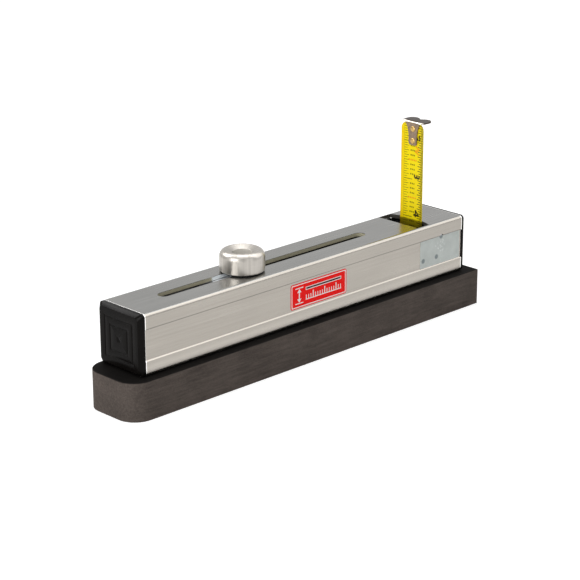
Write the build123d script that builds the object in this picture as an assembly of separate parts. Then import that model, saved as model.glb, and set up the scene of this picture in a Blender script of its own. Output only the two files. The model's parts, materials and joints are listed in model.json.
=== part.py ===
from build123d import *
import math
import os

# Chassis height gauge, in millimetres. Every piece is drawn in the tube's own frame: X runs
# along the tube from its left end, Y is 0 on the tube's centre plane and grows to the back,
# and Z is 0 on the tube's underside, which rests on the base. in_row() moves a finished piece
# to the row frame, whose origin is the centre of the base's underside.

# Clearances
WALL_GAP = 0.15
SNUG_GAP = 0.03
RUNNING_GAP = 0.06
FACE_GAP = 0.05
ROLLING_GAP = 0.3
OVERCUT = 1.0

# Square tube with a shallow band along each side
TUBE_LENGTH = 273.05
TUBE_SIZE = 38.1
TUBE_WALL = 2.7
TUBE_CORNER_RADIUS = 2.4
TUBE_INNER_RADIUS = 0.6
TUBE_HALF = TUBE_SIZE / 2
INNER_HALF = TUBE_HALF - TUBE_WALL
INNER_TOP = TUBE_SIZE - TUBE_WALL
BAND_HEIGHT = 19.4
BAND_DEPTH = 0.6
BAND_BOTTOM = TUBE_HALF - BAND_HEIGHT / 2
BAND_TOP = TUBE_HALF + BAND_HEIGHT / 2
BAND_FACE_Y = -(TUBE_HALF - BAND_DEPTH)

# Base block, which stands out past the tube by these amounts
BASE_HEIGHT = 24.0
BASE_PAST_LEFT = 15.35
BASE_PAST_RIGHT = 10.9
BASE_PAST_FRONT = 5.725
BASE_PAST_BACK = 0.625
BASE_CORNER_RADIUS = 13.0
BASE_EDGE_CHAMFER = 0.4
BASE_LENGTH = TUBE_LENGTH + BASE_PAST_LEFT + BASE_PAST_RIGHT
BASE_WIDTH = TUBE_SIZE + BASE_PAST_FRONT + BASE_PAST_BACK
BASE_MID_X = (TUBE_LENGTH + BASE_PAST_RIGHT - BASE_PAST_LEFT) / 2
BASE_MID_Y = (BASE_PAST_BACK - BASE_PAST_FRONT) / 2

# Roller that turns the tape upwards, on an axle set back from the tube's right end
AXLE_FROM_END = 36.85
AXLE_ABOVE_FLOOR = 12.2
AXLE_X = TUBE_LENGTH - AXLE_FROM_END
AXLE_Z = TUBE_WALL + AXLE_ABOVE_FLOOR
PIN_RADIUS = 1.6
PIN_END_GAP = 0.02

# Measuring tape: crowned blade, bend round the roller, flat run under the slide block
TAPE_WIDTH = 19.05
TAPE_THICKNESS = 0.15
TAPE_CROWN = 1.2
TAPE_CROWN_START = 30.0
TAPE_CORNER_RADIUS = 4.0
TAPE_RISE = 64.2
BEND_RADIUS = 8.4
TAPE_HALF = TAPE_WIDTH / 2
TAPE_TOP = TUBE_SIZE + TAPE_RISE
BEND_X = AXLE_X + BEND_RADIUS
RUN_Z = AXLE_Z - BEND_RADIUS
TAPE_EDGE_X = BEND_X - TAPE_CROWN / 3
TAPE_MIDDLE_X = TAPE_EDGE_X + TAPE_CROWN
TAPE_CROWN_RADIUS = (TAPE_HALF ** 2 + TAPE_CROWN ** 2) / (2 * TAPE_CROWN)
TAPE_CROWN_X = TAPE_MIDDLE_X - TAPE_CROWN_RADIUS
TRIM_HALF = 8.0

ROLLER_RADIUS = BEND_RADIUS - TAPE_THICKNESS / 2 - ROLLING_GAP
ROLLER_FLANGE_HEIGHT = 1.4
ROLLER_FLANGE_WIDTH = 1.5
ROLLER_SIDE_GAP = 0.35
ROLLER_HUB_RADIUS = 3.6
ROLLER_FLANGE_RADIUS = ROLLER_RADIUS + ROLLER_FLANGE_HEIGHT
ROLLER_BARREL_HALF = TAPE_HALF + ROLLER_SIDE_GAP

# Openings in the tube's top: the travel slot ends short of the slot that the tape rises through
TAPE_SLOT_BEFORE_AXLE = 4.5
TAPE_SLOT_END_GAP = 1.6
TAPE_SLOT_MIDDLE_GAP = 0.9
TAPE_SLOT_SIDE = 1.95
TRAVEL_SLOT_LEFT = 27.0
TRAVEL_SLOT_WIDTH = 7.5
SLOT_SPACING = 32.4
TAPE_SLOT_LEFT = AXLE_X - TAPE_SLOT_BEFORE_AXLE
TAPE_SLOT_END_X = TAPE_EDGE_X - TAPE_SLOT_END_GAP
TAPE_SLOT_MIDDLE_X = TAPE_MIDDLE_X + TAPE_SLOT_MIDDLE_GAP
TAPE_SLOT_HALF_WIDTH = TUBE_HALF - TAPE_SLOT_SIDE
TRAVEL_SLOT_RIGHT = TAPE_SLOT_LEFT - SLOT_SPACING

# Screws from beneath and their threaded inserts in the tube's floor
BASE_SCREW_RADIUS = 2.5
BASE_SCREW_LENGTH = 16.0
BASE_SCREW_HEAD_RADIUS = 4.25
BASE_SCREW_HEAD_HEIGHT = 5.0
BASE_SCREW_HEX = 4.0
BASE_SCREW_HOLE_GAP = 0.25
COUNTERBORE_GAP = 0.95
BASE_SCREW_LEFT = 30.0
BASE_SCREW_BEFORE_AXLE = 16.2
BASE_SCREW_RIGHT = AXLE_X - BASE_SCREW_BEFORE_AXLE
BASE_SCREW_XS = (BASE_SCREW_LEFT, (BASE_SCREW_LEFT + BASE_SCREW_RIGHT) / 2, BASE_SCREW_RIGHT)
COUNTERBORE_RADIUS = BASE_SCREW_HEAD_RADIUS + COUNTERBORE_GAP
INSERT_WALL = 1.0
INSERT_FLANGE_WIDTH = 1.2
INSERT_FLANGE_HEIGHT = 0.9
INSERT_RADIUS = BASE_SCREW_RADIUS + INSERT_WALL
INSERT_FLANGE_RADIUS = INSERT_RADIUS + INSERT_FLANGE_WIDTH
SCREW_END_BELOW_FLANGE = 0.2
BASE_SCREW_TOP = TUBE_WALL + INSERT_FLANGE_HEIGHT - SCREW_END_BELOW_FLANGE
BASE_SCREW_SEAT = BASE_SCREW_TOP - BASE_SCREW_LENGTH

# Push-in end caps
CAP_DEPTH = 4.0
CAP_RIM = 1.9
CAP_INSET = 2.1
CAP_EDGE_GAP = 0.1
CAP_PLUG_DEPTH = 9.0
CAP_FINS = 3
CAP_FIN_THICKNESS = 1.0
CAP_FIN_PITCH = 2.8
CAP_FIN_START = 0.8
CAP_FIN_DEPTH = 2.75
CAP_CORE_WALL = 2.0
CAP_CORE_HALF = INNER_HALF - CAP_FIN_DEPTH
CAP_RING_INSETS = (4.2, 8.8)
CAP_RING_WIDTH = 1.0
CAP_RING_DEPTH = 0.35

# Guide block behind the tape and the two pins that hold it, placed from the roller's axle
GUIDE_FLOOR_GAP = 0.1
GUIDE_TOP_GAP = 1.9
GUIDE_CAP_GAP = 1.55
GUIDE_FLANGE_GAP = 0.7
GUIDE_TONGUE_SIDE = 0.25
GUIDE_TONGUE_RISE = 1.1
UPPER_PIN_PAST_AXLE = 17.0
UPPER_PIN_BELOW_TOP = 5.2
LOWER_PIN_PAST_AXLE = 12.8
LOWER_PIN_ABOVE_AXLE = 0.3
GUIDE_RIGHT = TUBE_LENGTH - CAP_PLUG_DEPTH - GUIDE_CAP_GAP
GUIDE_TOP = INNER_TOP - GUIDE_TOP_GAP
GUIDE_RADIUS = ROLLER_FLANGE_RADIUS + GUIDE_FLANGE_GAP
GUIDE_TONGUE_RADIUS = BEND_RADIUS + TAPE_THICKNESS / 2 + ROLLING_GAP
GUIDE_TONGUE_HALF = TAPE_HALF - GUIDE_TONGUE_SIDE
GUIDE_TONGUE_TOP = AXLE_Z + GUIDE_TONGUE_RISE
UPPER_PIN = (AXLE_X + UPPER_PIN_PAST_AXLE, GUIDE_TOP - UPPER_PIN_BELOW_TOP)
LOWER_PIN = (AXLE_X + LOWER_PIN_PAST_AXLE, AXLE_Z + LOWER_PIN_ABOVE_AXLE)
GUIDE_PINS = (UPPER_PIN, LOWER_PIN)

# Film over the pins and the label, both in the front band
FILM_LENGTH = 38.2
FILM_FROM_END = 1.55
FILM_THICKNESS = 0.15
LABEL_PAST_MIDDLE = 3.775
LABEL_MIDDLE_X = TUBE_LENGTH / 2 + LABEL_PAST_MIDDLE
LABEL_LENGTH = 48.5
LABEL_HEIGHT = 16.2
LABEL_CORNER_RADIUS = 1.5
LABEL_THICKNESS = 0.15

# Slide block and the plate that clamps the tape's tail to it
BLOCK_MIDDLE_X = 93.2
BLOCK_LENGTH = 41.2
BLOCK_CHAMFER = 0.8
BLOCK_BOTTOM = RUN_Z + TAPE_THICKNESS / 2
TAIL_FROM_SCREW = 5.2
TAIL_LEFT = BLOCK_MIDDLE_X + TAIL_FROM_SCREW
TAIL_PLATE_LENGTH = 14.0
TAIL_PLATE_THICKNESS = 1.6
TAIL_PLATE_CHAMFER = 1.0
TAIL_SCREW_X = TAIL_LEFT + TAIL_PLATE_LENGTH / 2
TAIL_SCREW_RADIUS = 1.5
TAIL_SCREW_HEAD_RADIUS = 2.8
TAIL_SCREW_HEAD_HEIGHT = 1.3
TAIL_SCREW_LENGTH = 8.0
TAIL_SCREW_HEX = 2.0

# Turned clamp knob, its screw and its washer
WASHER_THICKNESS = 0.55
KNOB_RADIUS = 13.95
KNOB_HEIGHT = 13.05
KNOB_TOP_ROUND = 3.1
KNOB_ROUND_STEPS = 4
KNOB_BOTTOM_CHAMFER = 0.6
KNOB_MOUTH_RADIUS = 10.1
KNOB_MOUTH_DEPTH = 1.8
KNOB_FLOOR = 2.6
CLAMP_SCREW_RADIUS = 3.175
CLAMP_SCREW_LENGTH = 25.4
CLAMP_SCREW_HEAD_RADIUS = 5.2
CLAMP_SCREW_HEAD_HEIGHT = 4.2
CLAMP_SCREW_HEX = 4.0
KNOB_BORE_GAP = 0.74
KNOB_WASHER_STEP = 1.05
KNOB_BORE_RADIUS = CLAMP_SCREW_HEAD_RADIUS + KNOB_BORE_GAP
KNOB_BOTTOM = TUBE_SIZE + WASHER_THICKNESS + 2 * FACE_GAP
KNOB_TOP = KNOB_BOTTOM + KNOB_HEIGHT
WASHER_RADIUS = KNOB_RADIUS - KNOB_WASHER_STEP

# Hook on the tape's end, held by two rivets. The leg is given by half-widths and heights from
# the tape's top, and the flange's lobe by reaches from the tape's edge and half-widths
HOOK_THICKNESS = 0.9
HOOK_LEG_TOP = 1.7
HOOK_LEG = ((6.0, -0.4), (4.8, -2.4), (3.8, -6.0), (3.4, -10.4), (3.4, -13.4), (2.4, -14.6))
HOOK_LOBE = ((7.3, 0), (8.3, 1.3), (9.5, 3.2), (9.8, 5.4), (9.1, 7.6), (7.2, 9.0), (5.0, 9.3))
HOOK_SIDE = 9.0
HOOK_BEND_ROUND = 0.7
HOOK_END_GAP = 0.4
FLANGE_BOTTOM = TAPE_TOP + HOOK_END_GAP
UPPER_RIVET_DROP = 4.0
RIVET_SPACING = 7.8
RIVET_ZS = (TAPE_TOP - UPPER_RIVET_DROP, TAPE_TOP - UPPER_RIVET_DROP - RIVET_SPACING)
RIVET_RADIUS = 1.0
RIVET_HEAD_RADIUS = 1.9
RIVET_HEAD_HEIGHT = 0.6
RIVET_TAIL_HEIGHT = 0.45


def box(x0, x1, y0, y1, z0, z1):
    """A block between the given limits."""
    middle = Pos((x0 + x1) / 2, (y0 + y1) / 2, (z0 + z1) / 2)
    return middle * Box(x1 - x0, y1 - y0, z1 - z0)


def rod_z(x, y, radius, z0, z1):
    """An upright cylinder between two heights."""
    return Pos(x, y, (z0 + z1) / 2) * Cylinder(radius, z1 - z0)


def rod_y(x, z, radius, half_length):
    """A cylinder across the tube, centred on its middle plane."""
    return Pos(x, 0, z) * Rot(90, 0, 0) * Cylinder(radius, 2 * half_length)


def rod_x(x0, x1, z, radius):
    """A cylinder along the tube, on its middle plane."""
    return Pos((x0 + x1) / 2, 0, z) * Rot(0, 90, 0) * Cylinder(radius, x1 - x0)


def hexagon_z(x, apothem, z0, z1):
    """An upright hexagonal prism on the tube's middle plane, sized to its flats."""
    outline = RegularPolygon(apothem, 6, major_radius=False)
    return extrude(Pos(x, 0, z0) * outline, z1 - z0)


def socket_screw(radius, length, head_radius, head_height, hex_width):
    """A screw with a hexagon socket: its head sits on Z = 0 and its shank points down."""
    head = Pos(0, 0, head_height / 2) * Cylinder(head_radius, head_height)
    shank = Pos(0, 0, -length / 2) * Cylinder(radius, length)
    hexagon = Plane.XY.offset(head_height / 2) * RegularPolygon(hex_width / math.sqrt(3), 6)
    return head + shank - extrude(hexagon, head_height)


def flat_screw(radius, length, head_radius, head_height, hex_width):
    """A countersunk screw: the top of its head lies on Z = 0 and its shank points down."""
    head = Pos(0, 0, -head_height / 2) * Cone(radius, head_radius, head_height)
    shank = Pos(0, 0, -length / 2) * Cylinder(radius, length)
    hexagon = Plane.XY.offset(-head_height) * RegularPolygon(hex_width / math.sqrt(3), 6)
    return head + shank - extrude(hexagon, head_height * 2)


def crowned_band(inner_radius, outer_radius, z0, z1):
    """An upright strip curved like the tape's crown, cut to the tape's width."""
    outer = rod_z(TAPE_CROWN_X, 0, outer_radius, z0, z1)
    inner = rod_z(TAPE_CROWN_X, 0, inner_radius, z0 - OVERCUT, z1 + OVERCUT)
    near_tape = box(BEND_X - TRIM_HALF, BEND_X + TRIM_HALF, -TAPE_HALF, TAPE_HALF, z0, z1)
    return (outer - inner) & near_tape


def upright_outline(points):
    """A mirrored outline, given as half-widths and heights above the tape's top."""
    right = [(y, TAPE_TOP + z) for y, z in points]
    left = [(-y, z) for y, z in reversed(right)]
    face = Plane.YZ.offset(BEND_X) * Polygon(*(right + left), align=None)
    return extrude(face, TRIM_HALF, both=True)


def together(pieces):
    """Separate solids that share one node."""
    return Compound([piece.solid() for piece in pieces])


def base_block():
    """The heavy base: rounded at its left end, square at its right end."""
    block = Pos(BASE_MID_X, BASE_MID_Y, -BASE_HEIGHT / 2) * Box(BASE_LENGTH, BASE_WIDTH, BASE_HEIGHT)
    left_corners = block.edges().filter_by(Axis.Z).sort_by(Axis.X)[:2]
    block = fillet(left_corners, BASE_CORNER_RADIUS)
    block = chamfer(block.faces().sort_by(Axis.Z)[-1].edges(), BASE_EDGE_CHAMFER)
    for x in BASE_SCREW_XS:
        under = -BASE_HEIGHT - OVERCUT
        block -= rod_z(x, 0, BASE_SCREW_RADIUS + BASE_SCREW_HOLE_GAP, under, OVERCUT)
        block -= rod_z(x, 0, COUNTERBORE_RADIUS, under, BASE_SCREW_SEAT)
    return block


def base_screws():
    """Screws that hold the tube to the base, driven from beneath."""
    screw = socket_screw(
        BASE_SCREW_RADIUS,
        BASE_SCREW_LENGTH,
        BASE_SCREW_HEAD_RADIUS,
        BASE_SCREW_HEAD_HEIGHT,
        BASE_SCREW_HEX,
    )
    screws = [Pos(x, 0, BASE_SCREW_SEAT) * Rot(180, 0, 0) * screw for x in BASE_SCREW_XS]
    return together(screws)


def threaded_inserts():
    """Hexagonal threaded inserts with flanges in the tube's floor, one for each base screw."""
    inserts = []
    for x in BASE_SCREW_XS:
        body = hexagon_z(x, INSERT_RADIUS, 0, TUBE_WALL)
        flange_top = TUBE_WALL + INSERT_FLANGE_HEIGHT
        flange = hexagon_z(x, INSERT_FLANGE_RADIUS, TUBE_WALL, flange_top)
        thread = rod_z(x, 0, BASE_SCREW_RADIUS + SNUG_GAP, -OVERCUT, flange_top + OVERCUT)
        inserts.append(body + flange - thread)
    return together(inserts)


def band_profile(side):
    """The band's cross-section on one side: square at its top edge, sloped at its bottom."""
    outside = TUBE_HALF + OVERCUT
    floor = TUBE_HALF - BAND_DEPTH
    points = [
        (side * outside, BAND_BOTTOM),
        (side * TUBE_HALF, BAND_BOTTOM),
        (side * floor, BAND_BOTTOM + BAND_DEPTH),
        (side * floor, BAND_TOP),
        (side * outside, BAND_TOP),
    ]
    return Polygon(*points, align=None)


def tape_slot():
    """The slot that the tape rises through, its far side bowed like the tape's crown."""
    corner = (TAPE_SLOT_LEFT, TAPE_SLOT_HALF_WIDTH)
    end = (TAPE_SLOT_END_X, TAPE_SLOT_HALF_WIDTH)
    arc = ThreePointArc(end, (TAPE_SLOT_MIDDLE_X, 0), (end[0], -end[1]))
    rest = Polyline((end[0], -end[1]), (corner[0], -corner[1]), corner, end)
    face = Plane.XY.offset(INNER_TOP) * make_face([arc, rest])
    return extrude(face, TUBE_WALL + OVERCUT)


def tube():
    """Extruded square tube with its two top slots and the holes for pins and inserts."""
    profile = RectangleRounded(TUBE_SIZE, TUBE_SIZE, TUBE_CORNER_RADIUS)
    profile -= RectangleRounded(2 * INNER_HALF, 2 * INNER_HALF, TUBE_INNER_RADIUS)
    profile = Pos(0, TUBE_HALF) * profile
    for side in (-1, 1):
        profile -= band_profile(side)
    body = extrude(Plane.YZ * profile, TUBE_LENGTH)
    slot_length = TRAVEL_SLOT_RIGHT - TRAVEL_SLOT_LEFT
    slot_middle = (TRAVEL_SLOT_RIGHT + TRAVEL_SLOT_LEFT) / 2
    travel_slot = SlotOverall(slot_length, TRAVEL_SLOT_WIDTH)
    slot_place = Pos(slot_middle, 0, INNER_TOP - OVERCUT)
    body -= extrude(slot_place * travel_slot, TUBE_WALL + 2 * OVERCUT)
    body -= tape_slot()
    for x, z in GUIDE_PINS + ((AXLE_X, AXLE_Z),):
        body -= rod_y(x, z, PIN_RADIUS + SNUG_GAP, TUBE_HALF + OVERCUT)
    for x in BASE_SCREW_XS:
        body -= hexagon_z(x, INSERT_RADIUS + SNUG_GAP, -OVERCUT, TUBE_WALL + OVERCUT)
    return body


def cap_head():
    """The cap's head: a thin rim, then a wide chamfer to a face with square grooves."""
    size = TUBE_SIZE - CAP_EDGE_GAP
    face_size = size - 2 * CAP_INSET
    head = extrude(Plane.YZ * RectangleRounded(size, size, TUBE_CORNER_RADIUS), CAP_DEPTH)
    shoulder = Plane.YZ.offset(CAP_RIM) * Rectangle(size, size)
    front = Plane.YZ.offset(CAP_DEPTH) * Rectangle(face_size, face_size)
    sloped = loft([shoulder, front], ruled=True)
    head &= sloped + extrude(Plane.YZ * Rectangle(size, size), CAP_RIM)
    groove_floor = CAP_DEPTH - CAP_RING_DEPTH
    for inset in CAP_RING_INSETS:
        outer = face_size - 2 * inset
        inner = outer - 2 * CAP_RING_WIDTH
        ring = Rectangle(outer, outer) - Rectangle(inner, inner)
        head -= extrude(Plane.YZ.offset(groove_floor) * ring, OVERCUT)
    return head


def cap_plug():
    """The hollow plug behind the head, with fins that grip the inside of the tube."""
    hollow = CAP_CORE_HALF - CAP_CORE_WALL
    core = Rectangle(2 * CAP_CORE_HALF, 2 * CAP_CORE_HALF) - Rectangle(2 * hollow, 2 * hollow)
    plug = extrude(Plane.YZ * core, -CAP_PLUG_DEPTH)
    fin_half = INNER_HALF - FACE_GAP
    fin = Rectangle(2 * fin_half, 2 * fin_half)
    fin = chamfer(fin.vertices(), TUBE_INNER_RADIUS)
    fin -= Rectangle(2 * hollow, 2 * hollow)
    for row in range(CAP_FINS):
        start = -CAP_PLUG_DEPTH + CAP_FIN_START + row * CAP_FIN_PITCH
        plug += extrude(Plane.YZ.offset(start) * fin, CAP_FIN_THICKNESS)
    return plug


def end_cap_right():
    """The right-hand cap, pushed in against the tube's end."""
    return Pos(TUBE_LENGTH, 0, TUBE_HALF) * (cap_head() + cap_plug())


def end_cap_left():
    """The left-hand cap, the same moulding turned round."""
    return Pos(0, 0, TUBE_HALF) * Rot(0, 0, 180) * (cap_head() + cap_plug())


def label():
    """The plain label stuck in the front band."""
    outline = RectangleRounded(LABEL_LENGTH, LABEL_HEIGHT, LABEL_CORNER_RADIUS)
    plane = Plane.XZ.offset(-BAND_FACE_Y)
    return extrude(plane * Pos(LABEL_MIDDLE_X, TUBE_HALF) * outline, LABEL_THICKNESS)


def pin_film():
    """Clear film stuck over the ends of the pins, so that they can't work out."""
    low = BAND_BOTTOM + BAND_DEPTH + FACE_GAP
    high = BAND_TOP - FACE_GAP
    right = TUBE_LENGTH - FILM_FROM_END
    front = BAND_FACE_Y - FILM_THICKNESS
    return box(right - FILM_LENGTH, right, front, BAND_FACE_Y, low, high)


def guide_pins():
    """Two pins across the tube that hold the guide block."""
    half_length = -BAND_FACE_Y - PIN_END_GAP
    return together([rod_y(x, z, PIN_RADIUS, half_length) for x, z in GUIDE_PINS])


def roller_axle():
    """The pin across the tube that the roller turns on."""
    return rod_y(AXLE_X, AXLE_Z, PIN_RADIUS, -BAND_FACE_Y - PIN_END_GAP)


def bend_roller():
    """Flanged roller that the tape wraps a quarter of."""
    barrel = ROLLER_BARREL_HALF
    flange = barrel + ROLLER_FLANGE_WIDTH
    hub = INNER_HALF - WALL_GAP
    roller = rod_y(0, 0, ROLLER_HUB_RADIUS, hub)
    roller += rod_y(0, 0, ROLLER_FLANGE_RADIUS, flange)
    groove = rod_y(0, 0, ROLLER_FLANGE_RADIUS + OVERCUT, barrel)
    groove -= rod_y(0, 0, ROLLER_RADIUS, barrel + OVERCUT)
    roller -= groove
    roller -= rod_y(0, 0, PIN_RADIUS + RUNNING_GAP, hub + OVERCUT)
    return Pos(AXLE_X, 0, AXLE_Z) * roller


def guide_body(radius, left_x, half_width, top):
    """A block with a hollow quarter round the roller and a straight face above it."""
    floor = TUBE_WALL + GUIDE_FLOOR_GAP
    body = box(AXLE_X, GUIDE_RIGHT, -half_width, half_width, floor, top)
    body -= rod_y(AXLE_X, AXLE_Z, radius, half_width + OVERCUT)
    side = half_width + OVERCUT
    body -= box(AXLE_X - OVERCUT, left_x, -side, side, AXLE_Z, top + OVERCUT)
    return body


def tape_guide_block():
    """The block that backs the tape through its bend, with a tongue between the flanges."""
    half_width = INNER_HALF - WALL_GAP
    body = guide_body(GUIDE_RADIUS, AXLE_X + GUIDE_RADIUS, half_width, GUIDE_TOP)
    long_edges = body.edges().filter_by(Axis.X).sort_by(Axis.Z)
    body = chamfer(long_edges[:2] + long_edges[-2:], BLOCK_CHAMFER)
    tongue_x = AXLE_X + GUIDE_TONGUE_RADIUS
    body += guide_body(GUIDE_TONGUE_RADIUS, tongue_x, GUIDE_TONGUE_HALF, GUIDE_TONGUE_TOP)
    for x, z in GUIDE_PINS:
        body -= rod_y(x, z, PIN_RADIUS + SNUG_GAP, half_width + OVERCUT)
    return body


def slide_block():
    """The block that slides in the tube and carries the tape's tail and the clamp."""
    half_length = BLOCK_LENGTH / 2
    half_width = INNER_HALF - WALL_GAP
    left = BLOCK_MIDDLE_X - half_length
    right = BLOCK_MIDDLE_X + half_length
    block = box(left, right, -half_width, half_width, BLOCK_BOTTOM, INNER_TOP - WALL_GAP)
    block = chamfer(block.edges().filter_by(Axis.X), BLOCK_CHAMFER)
    below = BLOCK_BOTTOM - OVERCUT
    block -= rod_z(BLOCK_MIDDLE_X, 0, CLAMP_SCREW_RADIUS + RUNNING_GAP, below, TUBE_SIZE)
    hole_top = BLOCK_BOTTOM + TAIL_SCREW_LENGTH
    return block - rod_z(TAIL_SCREW_X, 0, TAIL_SCREW_RADIUS + SNUG_GAP, below, hole_top)


def tape_tail_plate():
    """The plate that clamps the tape's tail against the slide block."""
    top = RUN_Z - TAPE_THICKNESS / 2
    bottom = top - TAIL_PLATE_THICKNESS
    plate = box(TAIL_LEFT, TAIL_LEFT + TAIL_PLATE_LENGTH, -TAPE_HALF, TAPE_HALF, bottom, top)
    plate = chamfer(plate.edges().filter_by(Axis.Z), TAIL_PLATE_CHAMFER)
    hole = TAIL_SCREW_RADIUS + SNUG_GAP
    plate -= rod_z(TAIL_SCREW_X, 0, hole, bottom - OVERCUT, top + OVERCUT)
    sink = Cone(TAIL_SCREW_HEAD_RADIUS, TAIL_SCREW_RADIUS, TAIL_SCREW_HEAD_HEIGHT)
    return plate - Pos(TAIL_SCREW_X, 0, bottom + TAIL_SCREW_HEAD_HEIGHT / 2) * sink


def tail_screw():
    """The countersunk screw through the plate and the tape into the slide block."""
    bottom = RUN_Z - TAPE_THICKNESS / 2 - TAIL_PLATE_THICKNESS
    screw = flat_screw(
        TAIL_SCREW_RADIUS,
        TAIL_SCREW_LENGTH,
        TAIL_SCREW_HEAD_RADIUS,
        TAIL_SCREW_HEAD_HEIGHT,
        TAIL_SCREW_HEX,
    )
    return Pos(TAIL_SCREW_X, 0, bottom) * Rot(180, 0, 0) * screw


def clamp_knob():
    """Turned knob with a rounded top edge, a dished mouth and a counterbore."""
    rounding = []
    for step in range(KNOB_ROUND_STEPS + 1):
        angle = math.pi / 2 * step / KNOB_ROUND_STEPS
        x = KNOB_RADIUS - KNOB_TOP_ROUND * (1 - math.cos(angle))
        rounding.append((x, KNOB_TOP - KNOB_TOP_ROUND * (1 - math.sin(angle))))
    profile = Polyline(
        (CLAMP_SCREW_RADIUS + SNUG_GAP, KNOB_BOTTOM),
        (KNOB_RADIUS - KNOB_BOTTOM_CHAMFER, KNOB_BOTTOM),
        (KNOB_RADIUS, KNOB_BOTTOM + KNOB_BOTTOM_CHAMFER),
        *rounding,
        (KNOB_MOUTH_RADIUS, KNOB_TOP),
        (KNOB_BORE_RADIUS, KNOB_TOP - KNOB_MOUTH_DEPTH),
        (KNOB_BORE_RADIUS, KNOB_BOTTOM + KNOB_FLOOR),
        (CLAMP_SCREW_RADIUS + SNUG_GAP, KNOB_BOTTOM + KNOB_FLOOR),
        close=True,
    )
    knob = revolve(Plane.XZ * make_face(profile), axis=Axis.Z)
    return Pos(BLOCK_MIDDLE_X, 0, 0) * knob


def clamp_screw():
    """Low-head screw fixed in the knob; its thread draws the slide block up to the tube."""
    screw = socket_screw(
        CLAMP_SCREW_RADIUS,
        CLAMP_SCREW_LENGTH,
        CLAMP_SCREW_HEAD_RADIUS,
        CLAMP_SCREW_HEAD_HEIGHT,
        CLAMP_SCREW_HEX,
    )
    return Pos(BLOCK_MIDDLE_X, 0, KNOB_BOTTOM + KNOB_FLOOR) * screw


def knob_washer():
    """Thin washer between the knob and the tube's top."""
    bottom = TUBE_SIZE + FACE_GAP
    top = bottom + WASHER_THICKNESS
    washer = rod_z(BLOCK_MIDDLE_X, 0, WASHER_RADIUS, bottom, top)
    hole = CLAMP_SCREW_RADIUS + RUNNING_GAP
    return washer - rod_z(BLOCK_MIDDLE_X, 0, hole, bottom - OVERCUT, top + OVERCUT)


def tape_run():
    """The tape's flat run from the slide block to the roller, with its tail's screw hole."""
    low = RUN_Z - TAPE_THICKNESS / 2
    high = RUN_Z + TAPE_THICKNESS / 2
    run = box(TAIL_LEFT, AXLE_X, -TAPE_HALF, TAPE_HALF, low, high)
    hole = TAIL_SCREW_RADIUS + SNUG_GAP
    return run - rod_z(TAIL_SCREW_X, 0, hole, low - OVERCUT, high + OVERCUT)


def tape_bend():
    """The quarter turn of the tape round the roller."""
    ring = rod_y(AXLE_X, AXLE_Z, BEND_RADIUS + TAPE_THICKNESS / 2, TAPE_HALF)
    ring -= rod_y(AXLE_X, AXLE_Z, BEND_RADIUS - TAPE_THICKNESS / 2, TAPE_HALF + OVERCUT)
    right = BEND_X + OVERCUT
    below = RUN_Z - OVERCUT
    return ring & box(AXLE_X, right, -TAPE_WIDTH, TAPE_WIDTH, below, AXLE_Z)


def crown_section(z):
    """The crowned blade's cross-section at one height."""
    half = TAPE_THICKNESS / 2
    front = ThreePointArc(
        (TAPE_EDGE_X - half, -TAPE_HALF),
        (TAPE_MIDDLE_X - half, 0),
        (TAPE_EDGE_X - half, TAPE_HALF),
    )
    back = ThreePointArc(
        (TAPE_EDGE_X + half, TAPE_HALF),
        (TAPE_MIDDLE_X + half, 0),
        (TAPE_EDGE_X + half, -TAPE_HALF),
    )
    side = Line((TAPE_EDGE_X - half, TAPE_HALF), (TAPE_EDGE_X + half, TAPE_HALF))
    other = Line((TAPE_EDGE_X + half, -TAPE_HALF), (TAPE_EDGE_X - half, -TAPE_HALF))
    return Plane.XY.offset(z) * make_face([front, side, back, other])


def tape_blade():
    """The rising blade: flat where it leaves the bend, then crowned up to its rounded end."""
    flat = Plane.XY.offset(AXLE_Z) * Pos(BEND_X, 0) * Rectangle(TAPE_THICKNESS, TAPE_WIDTH)
    blade = loft([flat, crown_section(TAPE_CROWN_START)], ruled=True)
    blade += extrude(crown_section(TAPE_CROWN_START), TAPE_TOP - TAPE_CROWN_START)
    corner = TAPE_TOP - TAPE_CORNER_RADIUS
    for side in (-1, 1):
        y = side * (TAPE_HALF - TAPE_CORNER_RADIUS)
        low_y, high_y = sorted((y, side * (TAPE_HALF + OVERCUT)))
        trim = box(BEND_X - TRIM_HALF, BEND_X + TRIM_HALF, low_y, high_y, corner, TAPE_TOP + OVERCUT)
        round_end = rod_x(BEND_X - TRIM_HALF, BEND_X + TRIM_HALF, corner, TAPE_CORNER_RADIUS)
        blade -= trim - Pos(0, y, 0) * round_end
    for z in RIVET_ZS:
        blade -= rod_x(BEND_X - TRIM_HALF, BEND_X + TRIM_HALF, z, RIVET_RADIUS + SNUG_GAP)
    return blade


def hook_flange():
    """The flange over the tape's end: two rounded lobes with a notch between them."""
    lobe = [(TAPE_EDGE_X + x, y) for x, y in HOOK_LOBE]
    other_lobe = [(x, -y) for x, y in lobe]
    front = TAPE_EDGE_X - TAPE_THICKNESS / 2 - HOOK_THICKNESS
    front_edge = [(front, HOOK_SIDE), (front, -HOOK_SIDE)]
    sides = Polyline(lobe[-1], *front_edge, other_lobe[-1])
    face = make_face([Spline(*lobe), sides, Spline(*other_lobe)])
    flange = extrude(Plane.XY.offset(FLANGE_BOTTOM) * face, HOOK_THICKNESS)
    hollow = TAPE_CROWN_RADIUS - TAPE_THICKNESS / 2 - HOOK_THICKNESS
    top = FLANGE_BOTTOM + HOOK_THICKNESS
    return flange - rod_z(TAPE_CROWN_X, 0, hollow, FLANGE_BOTTOM - OVERCUT, top + OVERCUT)


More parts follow.
